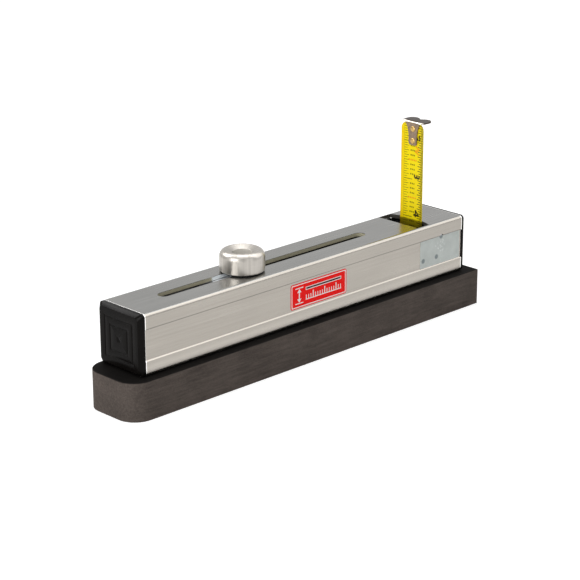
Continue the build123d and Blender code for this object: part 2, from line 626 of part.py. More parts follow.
def tape_hook():
    """Bent hook: a tapered leg that follows the tape's crown, and a lobed flange."""
    outside = TAPE_CROWN_RADIUS - TAPE_THICKNESS / 2
    inside_flange = FLANGE_BOTTOM + HOOK_THICKNESS / 2
    bottom = TAPE_TOP + HOOK_LEG[-1][1]
    leg = crowned_band(outside - HOOK_THICKNESS, outside, bottom, inside_flange)
    leg &= upright_outline(((HOOK_LEG[0][0], HOOK_LEG_TOP),) + HOOK_LEG)
    for z in RIVET_ZS:
        leg -= rod_x(BEND_X - TRIM_HALF, BEND_X + TRIM_HALF, z, RIVET_RADIUS + SNUG_GAP)
    hook = leg + hook_flange()
    top_edges = hook.faces().sort_by(Axis.Z)[-1].edges()
    bend = top_edges.filter_by(GeomType.CIRCLE).sort_by(Axis.X)[0]
    return fillet(bend, HOOK_BEND_ROUND)


def hook_rivets():
    """Two rivets through the hook's leg and the tape, with low heads."""
    front = TAPE_MIDDLE_X - TAPE_THICKNESS / 2 - HOOK_THICKNESS - FACE_GAP
    back = TAPE_MIDDLE_X + TAPE_THICKNESS / 2
    rivets = []
    for z in RIVET_ZS:
        rivet = rod_x(front - RIVET_HEAD_HEIGHT, front, z, RIVET_HEAD_RADIUS)
        rivet += rod_x(front - FACE_GAP, back + FACE_GAP, z, RIVET_RADIUS)
        rivet += rod_x(back, back + RIVET_TAIL_HEIGHT, z, RIVET_HEAD_RADIUS)
        rivets.append(rivet)
    return together(rivets)


def in_row(piece):
    """The piece moved from the tube's frame to the row frame."""
    return Pos(-BASE_MID_X, -BASE_MID_Y, BASE_HEIGHT) * piece


PIECES = {
    "base_block": base_block,
    "base_screws": base_screws,
    "threaded_inserts": threaded_inserts,
    "tube": tube,
    "end_cap_left": end_cap_left,
    "end_cap_right": end_cap_right,
    "label": label,
    "pin_film": pin_film,
    "guide_pins": guide_pins,
    "roller_axle": roller_axle,
    "bend_roller": bend_roller,
    "tape_guide_block": tape_guide_block,
    "slide_block": slide_block,
    "tape_tail_plate": tape_tail_plate,
    "tail_screw": tail_screw,
    "clamp_knob": clamp_knob,
    "clamp_screw": clamp_screw,
    "knob_washer": knob_washer,
    "tape_run": tape_run,
    "tape_bend": tape_bend,
    "tape_blade": tape_blade,
    "tape_hook": tape_hook,
    "hook_rivets": hook_rivets,
}

os.makedirs("parts", exist_ok=True)
for name, make in PIECES.items():
    export_step(in_row(make()), f"parts/{name}.step")
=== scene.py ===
# %% [markdown]
# # A chassis height gauge, dressed in Blender
# The gauge is a square aluminium tube on a heavy dark base. A block slides inside the tube and
# pushes a steel measuring tape round a roller and up through the tube's top, where a hook on its
# end touches the car. A turned knob clamps the block.
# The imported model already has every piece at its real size, so this lesson keeps those sizes and
# works on what a camera sees: soft edges, turned and brushed metal, moulded plastic and print.

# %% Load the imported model
import json
import math

import bmesh
import bpy
from mathutils import Matrix, Vector


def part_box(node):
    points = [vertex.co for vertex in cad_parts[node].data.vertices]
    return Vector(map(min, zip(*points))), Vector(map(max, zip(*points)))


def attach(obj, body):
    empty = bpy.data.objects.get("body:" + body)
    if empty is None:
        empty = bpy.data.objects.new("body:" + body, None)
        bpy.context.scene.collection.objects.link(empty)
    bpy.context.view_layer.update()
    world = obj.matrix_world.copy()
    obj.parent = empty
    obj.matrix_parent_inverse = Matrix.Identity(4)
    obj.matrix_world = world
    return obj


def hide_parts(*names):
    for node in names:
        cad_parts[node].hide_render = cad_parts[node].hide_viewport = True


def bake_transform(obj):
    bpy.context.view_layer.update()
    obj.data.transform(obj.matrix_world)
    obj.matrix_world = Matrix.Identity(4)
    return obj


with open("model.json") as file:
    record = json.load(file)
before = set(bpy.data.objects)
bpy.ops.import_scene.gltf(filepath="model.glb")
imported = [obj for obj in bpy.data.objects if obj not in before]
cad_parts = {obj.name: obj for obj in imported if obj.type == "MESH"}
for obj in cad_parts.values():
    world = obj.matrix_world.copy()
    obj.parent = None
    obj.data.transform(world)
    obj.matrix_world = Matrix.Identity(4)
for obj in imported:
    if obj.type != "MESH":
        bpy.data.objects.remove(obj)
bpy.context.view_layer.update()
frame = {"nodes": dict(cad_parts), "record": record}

MM = 0.001


def in_scene(name, data):
    """A new object in the scene."""
    made = bpy.data.objects.new(name, data)
    bpy.context.scene.collection.objects.link(made)
    return made


# %% [markdown]
# ## Where things are
# Almost every place below is worked out from the boxes of the model's own pieces. Lengths along
# the tube are X, across it Y with the label on the -Y side, and up is Z.

# %% Measure the frame
tube_low, tube_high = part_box("tube")
blade_low, blade_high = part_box("tape_blade")
knob_low, knob_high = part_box("clamp_knob")
middle_y = (tube_low.y + tube_high.y) / 2
tape_half = (blade_high.y - blade_low.y) / 2
tape_top = blade_high.z
print("tube", tube_high - tube_low, "tape top", tape_top)

# %% [markdown]
# ## The camera
# The photograph was taken with a long lens from the front left, a little above the gauge. The
# place and turn below put the tube's and the base's corners where the photograph has them.

# %% Set up the camera
CAMERA_PLACE = (-0.808414, -0.824114, 0.440797)
CAMERA_HEADING = math.radians(44.332)
CAMERA_DIP = math.radians(19.138)
CAMERA_ROLL = math.radians(-0.1134)
FOCAL_LENGTH = 122.34

camera = in_scene("camera", bpy.data.cameras.new("camera"))
camera.data.lens = FOCAL_LENGTH
camera.data.sensor_width = 36
camera.data.clip_end = 20
bpy.context.scene.camera = camera

heading = Matrix.Rotation(-CAMERA_HEADING, 4, "Z")
dip = Matrix.Rotation(math.pi / 2 - CAMERA_DIP, 4, "X")
roll = Matrix.Rotation(CAMERA_ROLL, 4, "Z")
camera.matrix_world = Matrix.Translation(CAMERA_PLACE) @ heading @ dip @ roll
print("camera", camera.matrix_world)

# %% [markdown]
# ## Shader maths in Python
# A finish is a sum of small effects: grain, smudges, print. Written as nodes by hand that is long
# and hard to follow, so one class wraps a socket and lets plain sums add the Math nodes, and one
# method adds any other node. A finish is done once its colour, roughness and relief are fed.

# %% Define the shader helpers
def adds_node(operation, reflected=False):
    """An operator of Link that adds a Math node, with its two values swapped where reflected."""
    def act(link, other=0.0):
        first, second = (other, link) if reflected else (link, other)
        return link.maths(operation, first, second)
    return act


class Link:
    """A value that comes out of a node, ready to be used in sums."""

    def __init__(self, nodes, socket):
        self.nodes = nodes
        self.socket = socket

    def maths(self, operation, first, second=0.0, third=0.0):
        sockets = {0: first, 1: second, 2: third}
        return self.nodes.node("ShaderNodeMath", {"operation": operation}, sockets)

    __add__ = adds_node("ADD")
    __radd__ = adds_node("ADD", reflected=True)
    __sub__ = adds_node("SUBTRACT")
    __rsub__ = adds_node("SUBTRACT", reflected=True)
    __mul__ = adds_node("MULTIPLY")
    __rmul__ = adds_node("MULTIPLY", reflected=True)
    __truediv__ = adds_node("DIVIDE")
    __mod__ = adds_node("FLOORED_MODULO")
    __lt__ = adds_node("LESS_THAN")
    __gt__ = adds_node("GREATER_THAN")
    __abs__ = adds_node("ABSOLUTE")

    def clamped(self):
        return self.maths("MINIMUM", self.maths("MAXIMUM", self, 0.0), 1.0)


class Nodes:
    """A tree of nodes."""

    def __init__(self, tree):
        self.tree = tree

    def node(self, kind, settings=None, sockets=None, out=0):
        """Adds any node. Its settings come first, then the values or links of its sockets."""
        made = self.tree.nodes.new(kind)
        for name, value in (settings or {}).items():
            setattr(made, name, value)
        for name, value in (sockets or {}).items():
            self.join(value, made.inputs[name])
        return Link(self, made.outputs[out])

    def join(self, value, socket):
        """Links or sets a socket. A colour is (red, green, blue)."""
        if isinstance(value, Link):
            self.tree.links.new(value.socket, socket)
        elif socket.type == "RGBA":
            socket.default_value = (*value, 1.0)
        else:
            socket.default_value = value


class Finish(Nodes):
    """One material: what never changes is set on the shader, what varies is fed to it."""

    def __init__(self, name, constants):
        self.material = bpy.data.materials.new(name)
        self.material.use_nodes = True
        super().__init__(self.material.node_tree)
        self.shader = self.tree.nodes["Principled BSDF"]
        for socket, value in constants.items():
            self.feed(socket, value)

    def feed(self, socket, value):
        self.join(value, self.shader.inputs[socket])

    def place(self, piece=None):
        """Places on a piece, in metres. Another piece can lend its own."""
        return self.node("ShaderNodeTexCoord", {"object": piece}, out="Object")

    def axes(self, place):
        split = self.node("ShaderNodeSeparateXYZ", sockets={0: place})
        return [Link(self, socket) for socket in split.socket.node.outputs]

    def joined(self, x, y, z):
        return self.node("ShaderNodeCombineXYZ", sockets={0: x, 1: y, 2: z})

    def noise(self, place, scale, detail=3.0, rough=0.5):
        """Noise from 0 to 1. The scale is grains per metre, or those along X, Y and Z."""
        scales = scale if isinstance(scale, tuple) else (scale, scale, scale)
        multiply = {"operation": "MULTIPLY"}
        stretched = self.node("ShaderNodeVectorMath", multiply, {0: place, 1: scales})
        sockets = {"Vector": stretched, "Scale": 1.0, "Detail": detail, "Roughness": rough}
        return self.node("ShaderNodeTexNoise", sockets=sockets)

    def mix(self, share, first, second):
        """One colour over another."""
        sockets = {0: share, 6: first, 7: second}
        return self.node("ShaderNodeMix", {"data_type": "RGBA"}, sockets, out=2)

    def done(self, surface, roughness, relief, depth):
        """Feeds the colour, the roughness and a relief of that depth in metres."""
        self.feed("Base Color", surface)
        self.feed("Roughness", roughness)
        sockets = {"Strength": 1.0, "Distance": depth, "Height": relief}
        self.feed("Normal", self.node("ShaderNodeBump", sockets=sockets))
        return self.material


def length(x, y):
    """The length of a flat vector."""
    square = x * x + y * y
    return square.maths("SQRT", square)


def band(value, middle, half):
    """1 where the value lies within half of the middle, else 0."""
    return abs(value - middle) < half


finishes = {}
print("shader helpers are ready")

# %% [markdown]
# ## Aluminium tube
# Extruded aluminium carries fine lines along its length, left by the die, and a duller cloudy
# skin from handling. Noise that is stretched a hundredfold along X makes the lines. It moves the
# roughness and a very shallow bump, so the lines show in highlights and not as painted stripes.
# The top is coloured darker than the side, as painted shade, and the side has a paler painted
# reflection below the band. A painted shadow line runs along the band's upper shoulder, and the
# ends carry a painted highlight. The walls of the two slots are duller: one has a painted
# reflection of the tape below it and, wherever the sliding block is, of the block's bright top.
# The other has painted shade for the dark inside. The block comes later in this lesson, and so
# does this finish.

# %% Make the tube's finish
SIDE_SKIN = 1.0 * MM
SHADOW_LINE = 0.3 * MM
END_HIGHLIGHT = 0.55 * MM
FOOT_FADE = 4.0 * MM
BLOCK_FADE = 1.5 * MM
SLOT_REACH = 17.4 * MM
band_bottom = tube_low.z + 9.35 * MM
band_top = tube_low.z + 28.75 * MM
wall_bottom = tube_high.z - 2.4 * MM
wall_top = tube_high.z - 0.25 * MM
tape_slot_left = tube_low.x + 225 * MM


def extruded_aluminium(block):
    """The tube's metal. The block lends its places, because a painted reflection of its bright top
    goes on the slot's walls.
    """
    made = Finish("extruded_aluminium", {})
    place = made.place()
    x, y, z = made.axes(place)
    lines = made.noise(place, (7, 900, 900), detail=5.0, rough=0.65)
    fine_lines = made.noise(place, (30, 4200, 4200), detail=2.0)
    clouds = made.noise(place, (22, 45, 45), detail=4.0)
    tone = ((lines - 0.5) * 0.9 + (fine_lines - 0.5) * 0.4 + (clouds - 0.5) * 0.5 + 0.5).clamped()
    from_middle = abs(y - middle_y)
    # Painted shade: the top and the side are one metal, but the top is given darker colours.
    shaded_top_metal = made.mix(tone, (0.22, 0.22, 0.21), (0.39, 0.385, 0.37))
    side_metal = made.mix(tone, (0.3, 0.28, 0.25), (0.43, 0.4, 0.36))
    # Painted light: the side is made paler below the band.
    foot_painted_light = ((band_bottom - z) / FOOT_FADE).clamped()
    side_metal = made.mix(foot_painted_light * 0.22, side_metal, (0.66, 0.62, 0.57))
    on_side = from_middle > (tube_high.y - middle_y - SIDE_SKIN)
    metal = made.mix(on_side, shaded_top_metal, side_metal)
    # Painted shadow: a dark line under the band's upper shoulder.
    painted_shadow_line = on_side * (abs(z - band_top) < SHADOW_LINE)
    metal = made.mix(painted_shadow_line * 0.75, metal, (0.06, 0.055, 0.05))
    # Painted highlight: the last half millimetre of each end is coloured bright.
    from_end = (tube_high.x - tube_low.x) / 2 - abs(x - (tube_high.x + tube_low.x) / 2)
    metal = made.mix(from_end < END_HIGHLIGHT, metal, (0.95, 0.93, 0.9))
    in_wall = (z > wall_bottom) * (z < wall_top) * (from_middle < SLOT_REACH)
    in_tape_slot = in_wall * (x > tape_slot_left)
    block_low, block_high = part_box("slide_block")
    from_block = abs(made.axes(made.place(block))[0] - (block_low.x + block_high.x) / 2)
    past_block = (from_block - (block_high.x - block_low.x) / 2) / BLOCK_FADE
    # Painted reflection: the travel slot's walls are coloured like the tape below and, near the
    # block, like the block's pale top.
    wall = made.mix(past_block.clamped(), (0.9, 0.94, 0.96), (0.5, 0.47, 0.34))
    metal = made.mix(in_wall - in_tape_slot, metal, wall)
    # Painted shade: the tape slot's walls are coloured nearly black for the dark inside.
    metal = made.mix(in_tape_slot, metal, (0.04, 0.036, 0.03))
    made.feed("Metallic", 1 - 0.8 * in_wall)
    roughness = 0.15 + 0.12 * lines + 0.08 * clouds + 0.3 * in_wall
    return made.done(metal, roughness, lines * 0.6 + fine_lines * 0.4, 0.00002)


print("the tube is", (tube_high.x - tube_low.x) / MM, "mm long")

# %% [markdown]
# ## Other metals
# The knob was turned on a lathe, so its lines run round the axis: noise that only depends on the
# radius and the height gives them. Noise that only depends on the direction from the axis paints
# broad lighter and darker bands into the colour, a painted sheen for the stretched highlights of
# turned metal. Screws in the base are black, plated pieces are a duller zinc, the sliding block is
# paler and the rivets are brass.

# %% Make the metal finishes
def turned_metal(name, dark, pale, roughness, grooves, bore=0.0):
    """Metal with tool marks round the local Z axis, and a duller bore up to that radius."""
    made = Finish(name, {})
    place = made.place()
    x, y, z = made.axes(place)
    flat = made.joined(x, y, 0.0)
    radius = made.node("ShaderNodeVectorMath", {"operation": "LENGTH"}, {0: flat}, out="Value")
    marks = made.noise(made.joined(radius, 0.0, z), (grooves, 1, grooves), detail=4.0, rough=0.7)
    clouds = made.noise(place, 160)
    # Painted sheen: noise by direction round the axis stands in for the stretched highlights of
    # turned metal.
    round_axis = made.node("ShaderNodeVectorMath", {"operation": "NORMALIZE"}, {0: flat})
    sheen_streaks = made.noise(round_axis, 7, detail=4.0, rough=0.6)
    tone = (marks * 0.4 + clouds * 0.2 + (sheen_streaks - 0.5) * 1.2 + 0.2).clamped()
    in_bore = radius < bore
    metal = made.mix(in_bore * 0.5, made.mix(tone, dark, pale), (0.95, 0.92, 0.86))
    made.feed("Metallic", 1 - 0.75 * in_bore)
    return made.done(metal, roughness + 0.12 * marks + 0.05 * clouds, marks, 0.00001)


def worked_metal(name, dark, pale, roughness, grain, depth, metal=1.0):
    """Plated or milled metal: the grain is its marks per metre."""
    made = Finish(name, {"Metallic": metal})
    place = made.place()
    marks = made.noise(place, grain, detail=4.0, rough=0.6)
    clouds = made.noise(place, 300, detail=4.0)
    surface = made.mix((marks * 0.5 + clouds * 0.5).clamped(), dark, pale)
    return made.done(surface, roughness + 0.15 * marks + 0.1 * clouds, marks, depth)


# Each turned metal: its name, dark and pale colour, roughness, grooves per metre and bore
TURNED = {
    "knob": ("turned_aluminium", (0.31, 0.29, 0.265), (0.57, 0.54, 0.495), 0.23, 5200, 6.05 * MM),
    "pin_steel": ("ground_steel", (0.35, 0.35, 0.36), (0.6, 0.6, 0.61), 0.22, 6000),
    "rivet": ("brass", (0.3, 0.18, 0.05), (0.72, 0.5, 0.2), 0.13, 2500),
    "dark_steel": ("black_oxide", (0.03, 0.03, 0.032), (0.09, 0.09, 0.095), 0.34, 3000),
}
for slot, recipe in TURNED.items():
    finishes[slot] = turned_metal(*recipe)
finishes["plated_steel"] = worked_metal(
    "zinc_plate", (0.42, 0.42, 0.4), (0.66, 0.66, 0.63), 0.3, 900, 0.000006
)
MILLING = (2600, 220, 220)
finishes["block"] = worked_metal(
    "milled_aluminium", (0.82, 0.86, 0.9), (0.93, 0.96, 0.98), 0.3, MILLING, 0.000012, metal=0.1
)
print("metal finishes", sorted(finishes))

# %% [markdown]
# ## Plastics
# The base is a dark filled plastic with a satin, faintly fibrous skin that was sawn and sanded.
# The end caps, the roller and the washer are black nylon and the guide block is black acetal.
# They differ in grain, in the depth of their texture and in gloss. The base's top is painted
# blacker than its sides, as painted shade.

# %% Make the plastic finishes
SHADE_FADE = 0.4 * MM


def plastic(name, dark, pale, roughness, grain, depth, fibre=0.0, shine=0.25, shade_above=None):
    """Moulded or machined plastic: fine grain, sawn fibres along X, and painted shade above a
    height.
    """
    made = Finish(name, {"Specular IOR Level": shine})
    place = made.place()
    grains = made.noise(place, grain, rough=0.6)
    clouds = made.noise(place, 55, detail=5.0)
    fibres = made.noise(place, (60, 700, 700), detail=4.0, rough=0.7)
    mottle = grains * (0.5 - fibre / 2) + fibres * fibre + clouds * (0.5 - fibre / 2)
    tone = (mottle * 2.0 - 0.5).clamped()
    surface = made.mix(tone, dark, pale)
    if shade_above:
        # Painted shade: above that height the colour goes nearly black.
        painted_shade = ((made.axes(place)[2] - shade_above) / SHADE_FADE).clamped()
        surface = made.mix(painted_shade * 0.95, surface, (0.0015, 0.0015, 0.0014))
    relief = grains * (1 - fibre) + fibres * fibre
    return made.done(surface, roughness + 0.14 * grains + 0.08 * clouds, relief, depth)


finishes["base"] = plastic(
    "filled_plastic", (0.03, 0.0248, 0.0218), (0.15, 0.124, 0.109), 0.55, 1500,
    0.00008, fibre=0.4, shine=0.04, shade_above=tube_low.z - 0.5 * MM,
)
finishes["cap"] = plastic(
    "moulded_nylon", (0.002, 0.0018, 0.0017), (0.008, 0.0068, 0.006), 0.1, 2600,
    0.000012, shine=0.05,
)
finishes["washer"] = plastic(
    "washer_nylon", (0.008, 0.008, 0.008), (0.02, 0.02, 0.02), 0.4, 2200, 0.00001
)
finishes["guide"] = plastic(
    "black_acetal", (0.012, 0.012, 0.013), (0.03, 0.03, 0.032), 0.32, 1400,
    0.00001, fibre=0.3,
)
finishes["roller"] = plastic(
    "roller_nylon", (0.02, 0.02, 0.021), (0.045, 0.045, 0.047), 0.38, 1200, 0.00001
)
print("plastic finishes are ready")

# %% [markdown]
# ## Helpers for meshes
# Most pieces here are turned or pressed, so they are skins over rings of points. Real edges are
# never perfectly sharp: a corner of an outline becomes a small arc, which catches the light.

# %% Define the mesh helpers
def softened(corners, steps=3):
    """The outline with arcs for corners: a corner is (x, y) or (x, y, radius of its arc)."""
    points = []
    for index, corner in enumerate(corners):
        here = Vector(corner[:2])
        if len(corner) == 2 or index in (0, len(corners) - 1):
            points.append(here)
            continue
        before = Vector(corners[index - 1][:2]) - here
        after = Vector(corners[index + 1][:2]) - here
        half_angle = before.angle(after) / 2
        reach = min(corner[2] / math.tan(half_angle), 0.49 * before.length, 0.49 * after.length)
        radius = reach * math.tan(half_angle)
        bisector = (before.normalized() + after.normalized()).normalized()
        centre = here + bisector * (radius / math.sin(half_angle))
        start = here + before.normalized() * reach - centre
        end = here + after.normalized() * reach - centre
        for step in range(steps + 1):
            points.append(centre + start.slerp(end, step / steps) * radius)
    return points


def skin(name, rings, closed=False, flat_ends=False):
    """A mesh over rings of points. A ring may be a single point, and a flat end is filled."""
    made = bmesh.new()
    rows = [[made.verts.new(point) for point in ring] for ring in rings]
    pairs = list(zip(rows, rows[1:]))
    if closed:
        pairs.append((rows[-1], rows[0]))
    for low, high in pairs:
        count = max(len(low), len(high))
        for i in range(count):
            j = (i + 1) % count
            corners = ((low, i), (low, j), (high, j), (high, i))
            made.faces.new(dict.fromkeys(row[spot % len(row)] for row, spot in corners))
    for row in (rows[0], rows[-1]) if flat_ends else ():
        for i in range(len(row) // 2 - 1):
            made.faces.new((row[i], row[i + 1], row[-2 - i], row[-1 - i]))
    return finished_mesh(name, made)


def finished_mesh(name, made, sharp=True):
    """The mesh with its normals outwards, and smooth but for real corners."""
    bmesh.ops.recalc_face_normals(made, faces=made.faces)
    mesh = bpy.data.meshes.new(name)
    made.to_mesh(mesh)
    made.free()
    mesh.shade_smooth()
    if sharp:
        mesh.set_sharp_from_angle(angle=math.radians(38))
    return mesh


def piece(name, mesh, body, slot, replaced=(), place=None, finish=None):
    """An object from a mesh, with its finish, on its body and in place of its solids."""
    made = in_scene(name, mesh)
    if place:
        made.matrix_world = place
    mesh.materials.append(finish or finishes[slot])
    if body:
        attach(made, body)
    if replaced:
        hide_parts(*replaced)
    return made


DOWN = Matrix.Rotation(math.pi, 4, "X")
ACROSS = Matrix.Rotation(math.pi / 2, 4, "X")


def turned(name, outline, count=96, closed=False):
    """A turned mesh: the outline is (radius, height), and a radius may depend on the angle."""
    rings = []
    for radius, height in outline:
        if radius == 0:
            rings.append([Vector((0, 0, height))])
            continue
        ring = []
        for step in range(count):
            angle = 2 * math.pi * step / count
            reach = radius(angle) if callable(radius) else radius
            ring.append(Vector((reach * math.cos(angle), reach * math.sin(angle), height)))
        rings.append(ring)
    return skin(name, rings, closed)


def bent_sheet(name, rows, thickness):
    """A closed sheet: each row is the points across its middle and the normal they share."""
    rings = []
    for points, normal in rows:
        offset = normal * (thickness / 2)
        front = [point - offset for point in points]
        back = [point + offset for point in points]
        rings.append(front + back[::-1])
    return skin(name, rings, flat_ends=True)


def eased(name, node, width, slot, body):
    """A copy of a node's mesh with its sharp edges eased by a small bevel, in the node's place."""
    made = bmesh.new()
    made.from_mesh(frame["nodes"][node].data)
    bmesh.ops.remove_doubles(made, verts=made.verts, dist=1e-7)
    bmesh.ops.dissolve_limit(made, angle_limit=math.radians(1), verts=made.verts, edges=made.edges)
    shaped = piece(name, finished_mesh(name, made, sharp=False), None, slot)
    bevel = shaped.modifiers.new("bevel", "BEVEL")
    bevel.width = width
    bevel.segments = 2
    bevel.limit_method = "ANGLE"
    bevel.angle_limit = math.radians(40)
    bevel.harden_normals = True
    weighted = shaped.modifiers.new("weighted", "WEIGHTED_NORMAL")
    weighted.weight = 100
    graph = bpy.context.evaluated_depsgraph_get()
    shown = shaped.evaluated_get(graph)
    shaped.data = bpy.data.meshes.new_from_object(
        shown, preserve_all_data_layers=True, depsgraph=graph
    )
    shaped.modifiers.clear()
    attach(shaped, body)
    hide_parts(node)
    return shaped


print("mesh helpers are ready")

# %% [markdown]
# ## The clamp knob
# The knob is turned from bar: a straight grip, a wide round at the top edge, a dished mouth and a
# bore for the screw's head. One outline spun round the axis gives it. The round is a quarter of an
# ellipse, and the small arcs at the other corners are what makes a turned part look cut and not
# moulded.

# %% Turn the knob
KNOB_ROUND = (3.8 * MM, 4.4 * MM)
ROUND_STEPS = 16
KNOB_EDGE = 0.25 * MM
BOTTOM_CHAMFER = 0.6 * MM
MOUTH_RADIUS = 10.1 * MM
MOUTH_DEPTH = 1.8 * MM
BORE_RADIUS = 5.94 * MM
SCREW_HOLE_RADIUS = 3.205 * MM
KNOB_FLOOR = 2.6 * MM

knob_radius = (knob_high.x - knob_low.x) / 2
knob_height = knob_high.z - knob_low.z
knob_centre = Vector(((knob_low.x + knob_high.x) / 2, middle_y, knob_low.z))
rounding = []
for step in range(ROUND_STEPS + 1):
    angle = math.pi / 2 * step / ROUND_STEPS
    inward = KNOB_ROUND[0] * (1 - math.cos(angle))
    downward = KNOB_ROUND[1] * (1 - math.sin(angle))
    rounding.append((knob_radius - inward, knob_height - downward))
knob_outline = softened([
    (SCREW_HOLE_RADIUS, 0),
    (knob_radius - BOTTOM_CHAMFER, 0, KNOB_EDGE),
    (knob_radius, BOTTOM_CHAMFER, KNOB_EDGE),
    *rounding,
    (MOUTH_RADIUS, knob_height, KNOB_EDGE),
    (BORE_RADIUS, knob_height - MOUTH_DEPTH, KNOB_EDGE),
    (BORE_RADIUS, KNOB_FLOOR, KNOB_EDGE),
    (SCREW_HOLE_RADIUS, KNOB_FLOOR),
], steps=8)
knob_mesh = turned("knob", knob_outline, count=160, closed=True)
piece("knob", knob_mesh, "knob", "knob", ["clamp_knob"], Matrix.Translation(knob_centre))
print("knob", knob_radius, knob_height, len(knob_mesh.polygons), "faces")

# %% [markdown]
# ## Screws
# A socket screw is a turned piece twice over: its head, with a hexagon socket, and its thread.
# In both, the radius changes with the angle: the socket's wall follows a hexagon, and a thread's
# crest moves up as it goes round. So one function of angle gives the socket and another the thread.

# %% Make the screws
THREAD_DEPTH = 0.6  # A share of the pitch
RINGS_PER_TURN = 6


def hexagon(across):
    """The radius of a hexagon, by angle."""
    def reach(angle):
        return across / 2 / math.cos(angle % (math.pi / 3) - math.pi / 6)
    return reach


def thread(radius, pitch, height):
    """The radius of a thread's surface at one height, by angle."""
    def reach(angle):
        share = (height / pitch + angle / (2 * math.pi)) % 1
        return radius - THREAD_DEPTH * pitch * abs(2 * share - 1)
    return reach


def threaded_shank(radius, length, pitch, end):
    """Rings down a shank from its head to a chamfered end."""
    steps = round((length - end) / pitch * RINGS_PER_TURN)
    rings = []
    for step in range(steps + 1):
        height = -end - (length - 2 * end) * step / steps
        rings.append((thread(radius, pitch, height), height))
    core = radius - THREAD_DEPTH * pitch
    return [(core, 0)] + rings + [(core - end / 2, -length), (0, -length)]


def socket_screw(name, radius, length, head_radius, head_height, hex_width, pitch, edge=0.4 * MM):
    """A screw with a low cylindrical head that stands on Z = 0."""
    socket = hexagon(hex_width)
    floor = head_height / 2
    outline = [(0, floor - edge / 2), (socket, floor), (socket, head_height)]
    outline += softened([
        (hex_width / 2 + 2 * edge, head_height),
        (head_radius, head_height, edge),
        (head_radius, 0, edge / 4),
        (radius, 0),
    ])
    return turned(name, outline + threaded_shank(radius, length, pitch, edge), count=48)


SCREW_RADIUS = 3.175 * MM
SCREW_LENGTH = 25.4 * MM
SCREW_PITCH = 1.27 * MM
SCREW_HEAD = (5.2 * MM, 4.2 * MM, 4.0 * MM)
clamp_mesh = socket_screw("clamp_screw_body", SCREW_RADIUS, SCREW_LENGTH, *SCREW_HEAD, SCREW_PITCH)
clamp_place = Matrix.Translation(knob_centre + Vector((0, 0, KNOB_FLOOR)))
zinc = finishes["plated_steel"]
piece("clamp_screw_body", clamp_mesh, "knob", "dark_steel", ["clamp_screw"], clamp_place, zinc)

BASE_SCREW = (2.5 * MM, 16 * MM, 4.25 * MM, 5.0 * MM, 4.0 * MM, 0.8 * MM)
HEAD_RADIUS, HEAD_HEIGHT = BASE_SCREW[2:4]
screws_low, screws_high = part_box("base_screws")
first_x = screws_low.x + HEAD_RADIUS
last_x = screws_high.x - HEAD_RADIUS
screw_xs = (first_x, (first_x + last_x) / 2, last_x)
screw_seat = screws_low.z + HEAD_HEIGHT
for number, x in enumerate(screw_xs, 1):
    name = f"base_screw_{number}"
    replaced = ["base_screws"] if number == 1 else []
    place = Matrix.Translation((x, middle_y, screw_seat)) @ DOWN
    piece(name, socket_screw(name, *BASE_SCREW), "housing", "dark_steel", replaced, place)
print("screws at", screw_xs)

# %% [markdown]
# ## Washer, pins and rivets
# These are small turned pieces too. The rivets' heads are domed, as a rivet set leaves them.

# %% Turn the washer, the pins and the rivets
WASHER_HOLE = 3.235 * MM
washer_low, washer_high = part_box("knob_washer")
washer_radius = (washer_high.x - washer_low.x) / 2
washer_height = washer_high.z - washer_low.z
washer_outline = softened([
    (WASHER_HOLE, 0),
    (washer_radius, 0, washer_height / 3),
    (washer_radius, washer_height, washer_height / 3),
    (WASHER_HOLE, washer_height),
])
washer_place = Matrix.Translation((knob_centre.x, middle_y, washer_low.z))
washer_mesh = turned("washer", washer_outline, closed=True)
piece("washer", washer_mesh, "washer", "washer", ["knob_washer"], washer_place)


def pin_mesh(name, radius, half_length, edge=0.3 * MM):
    """A ground pin with a chamfer at each end."""
    outline = [(0, -half_length), (radius - edge, -half_length), (radius, edge - half_length)]
    outline += [(radius, half_length - edge), (radius - edge, half_length), (0, half_length)]
    return turned(name, outline, count=40)


PIN_RADIUS = 1.6 * MM
axle_low, axle_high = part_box("roller_axle")
pins_low, pins_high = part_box("guide_pins")
pin_half = (axle_high.y - axle_low.y) / 2
axle_x = axle_low.x + PIN_RADIUS
axle_z = axle_low.z + PIN_RADIUS
pin_spots = {
    "axle_pin": (axle_x, axle_z, ["roller_axle"]),
    "guide_pin_high": (pins_high.x - PIN_RADIUS, pins_high.z - PIN_RADIUS, ["guide_pins"]),
    "guide_pin_low": (pins_low.x + PIN_RADIUS, pins_low.z + PIN_RADIUS, []),
}
for name, (x, z, replaced) in pin_spots.items():
    place = Matrix.Translation((x, middle_y, z)) @ ACROSS
    piece(name, pin_mesh(name, PIN_RADIUS, pin_half), "housing", "pin_steel", replaced, place)

RIVET_HEAD = 1.9 * MM
RIVET_SHANK = 1.0 * MM
RIVET_DOME = 0.6 * MM
RIVET_TAIL = 0.45 * MM
DOME_STEPS = 8
rivets_low, rivets_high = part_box("hook_rivets")


def rivet_mesh(name, depth):
    """A rivet along its own Z axis: a dome, a shank and a flattened tail."""
    dome = [(0, 0)]
    for step in range(1, DOME_STEPS + 1):
        angle = math.pi / 2 * step / DOME_STEPS
        dome.append((RIVET_HEAD * math.sin(angle), RIVET_DOME * (1 - math.cos(angle))))
    tail = depth - RIVET_TAIL
    shank = [(RIVET_SHANK, RIVET_DOME), (RIVET_SHANK, tail)]
    flat = [(RIVET_HEAD, tail), (RIVET_HEAD * 0.9, depth), (0, depth)]
    return turned(name, dome + shank + flat, count=40)


rivet_length = rivets_high.x - rivets_low.x
for number, z in enumerate((rivets_high.z - RIVET_HEAD, rivets_low.z + RIVET_HEAD), 1):
    name = f"rivet_{number}"
    replaced = ["hook_rivets"] if number == 1 else []
    place = Matrix.Translation((rivets_low.x, middle_y, z)) @ Matrix.Rotation(math.pi / 2, 4, "Y")
    piece(name, rivet_mesh(name, rivet_length), "tape_head", "rivet", replaced, place)
print("washer, pins and rivets are turned")
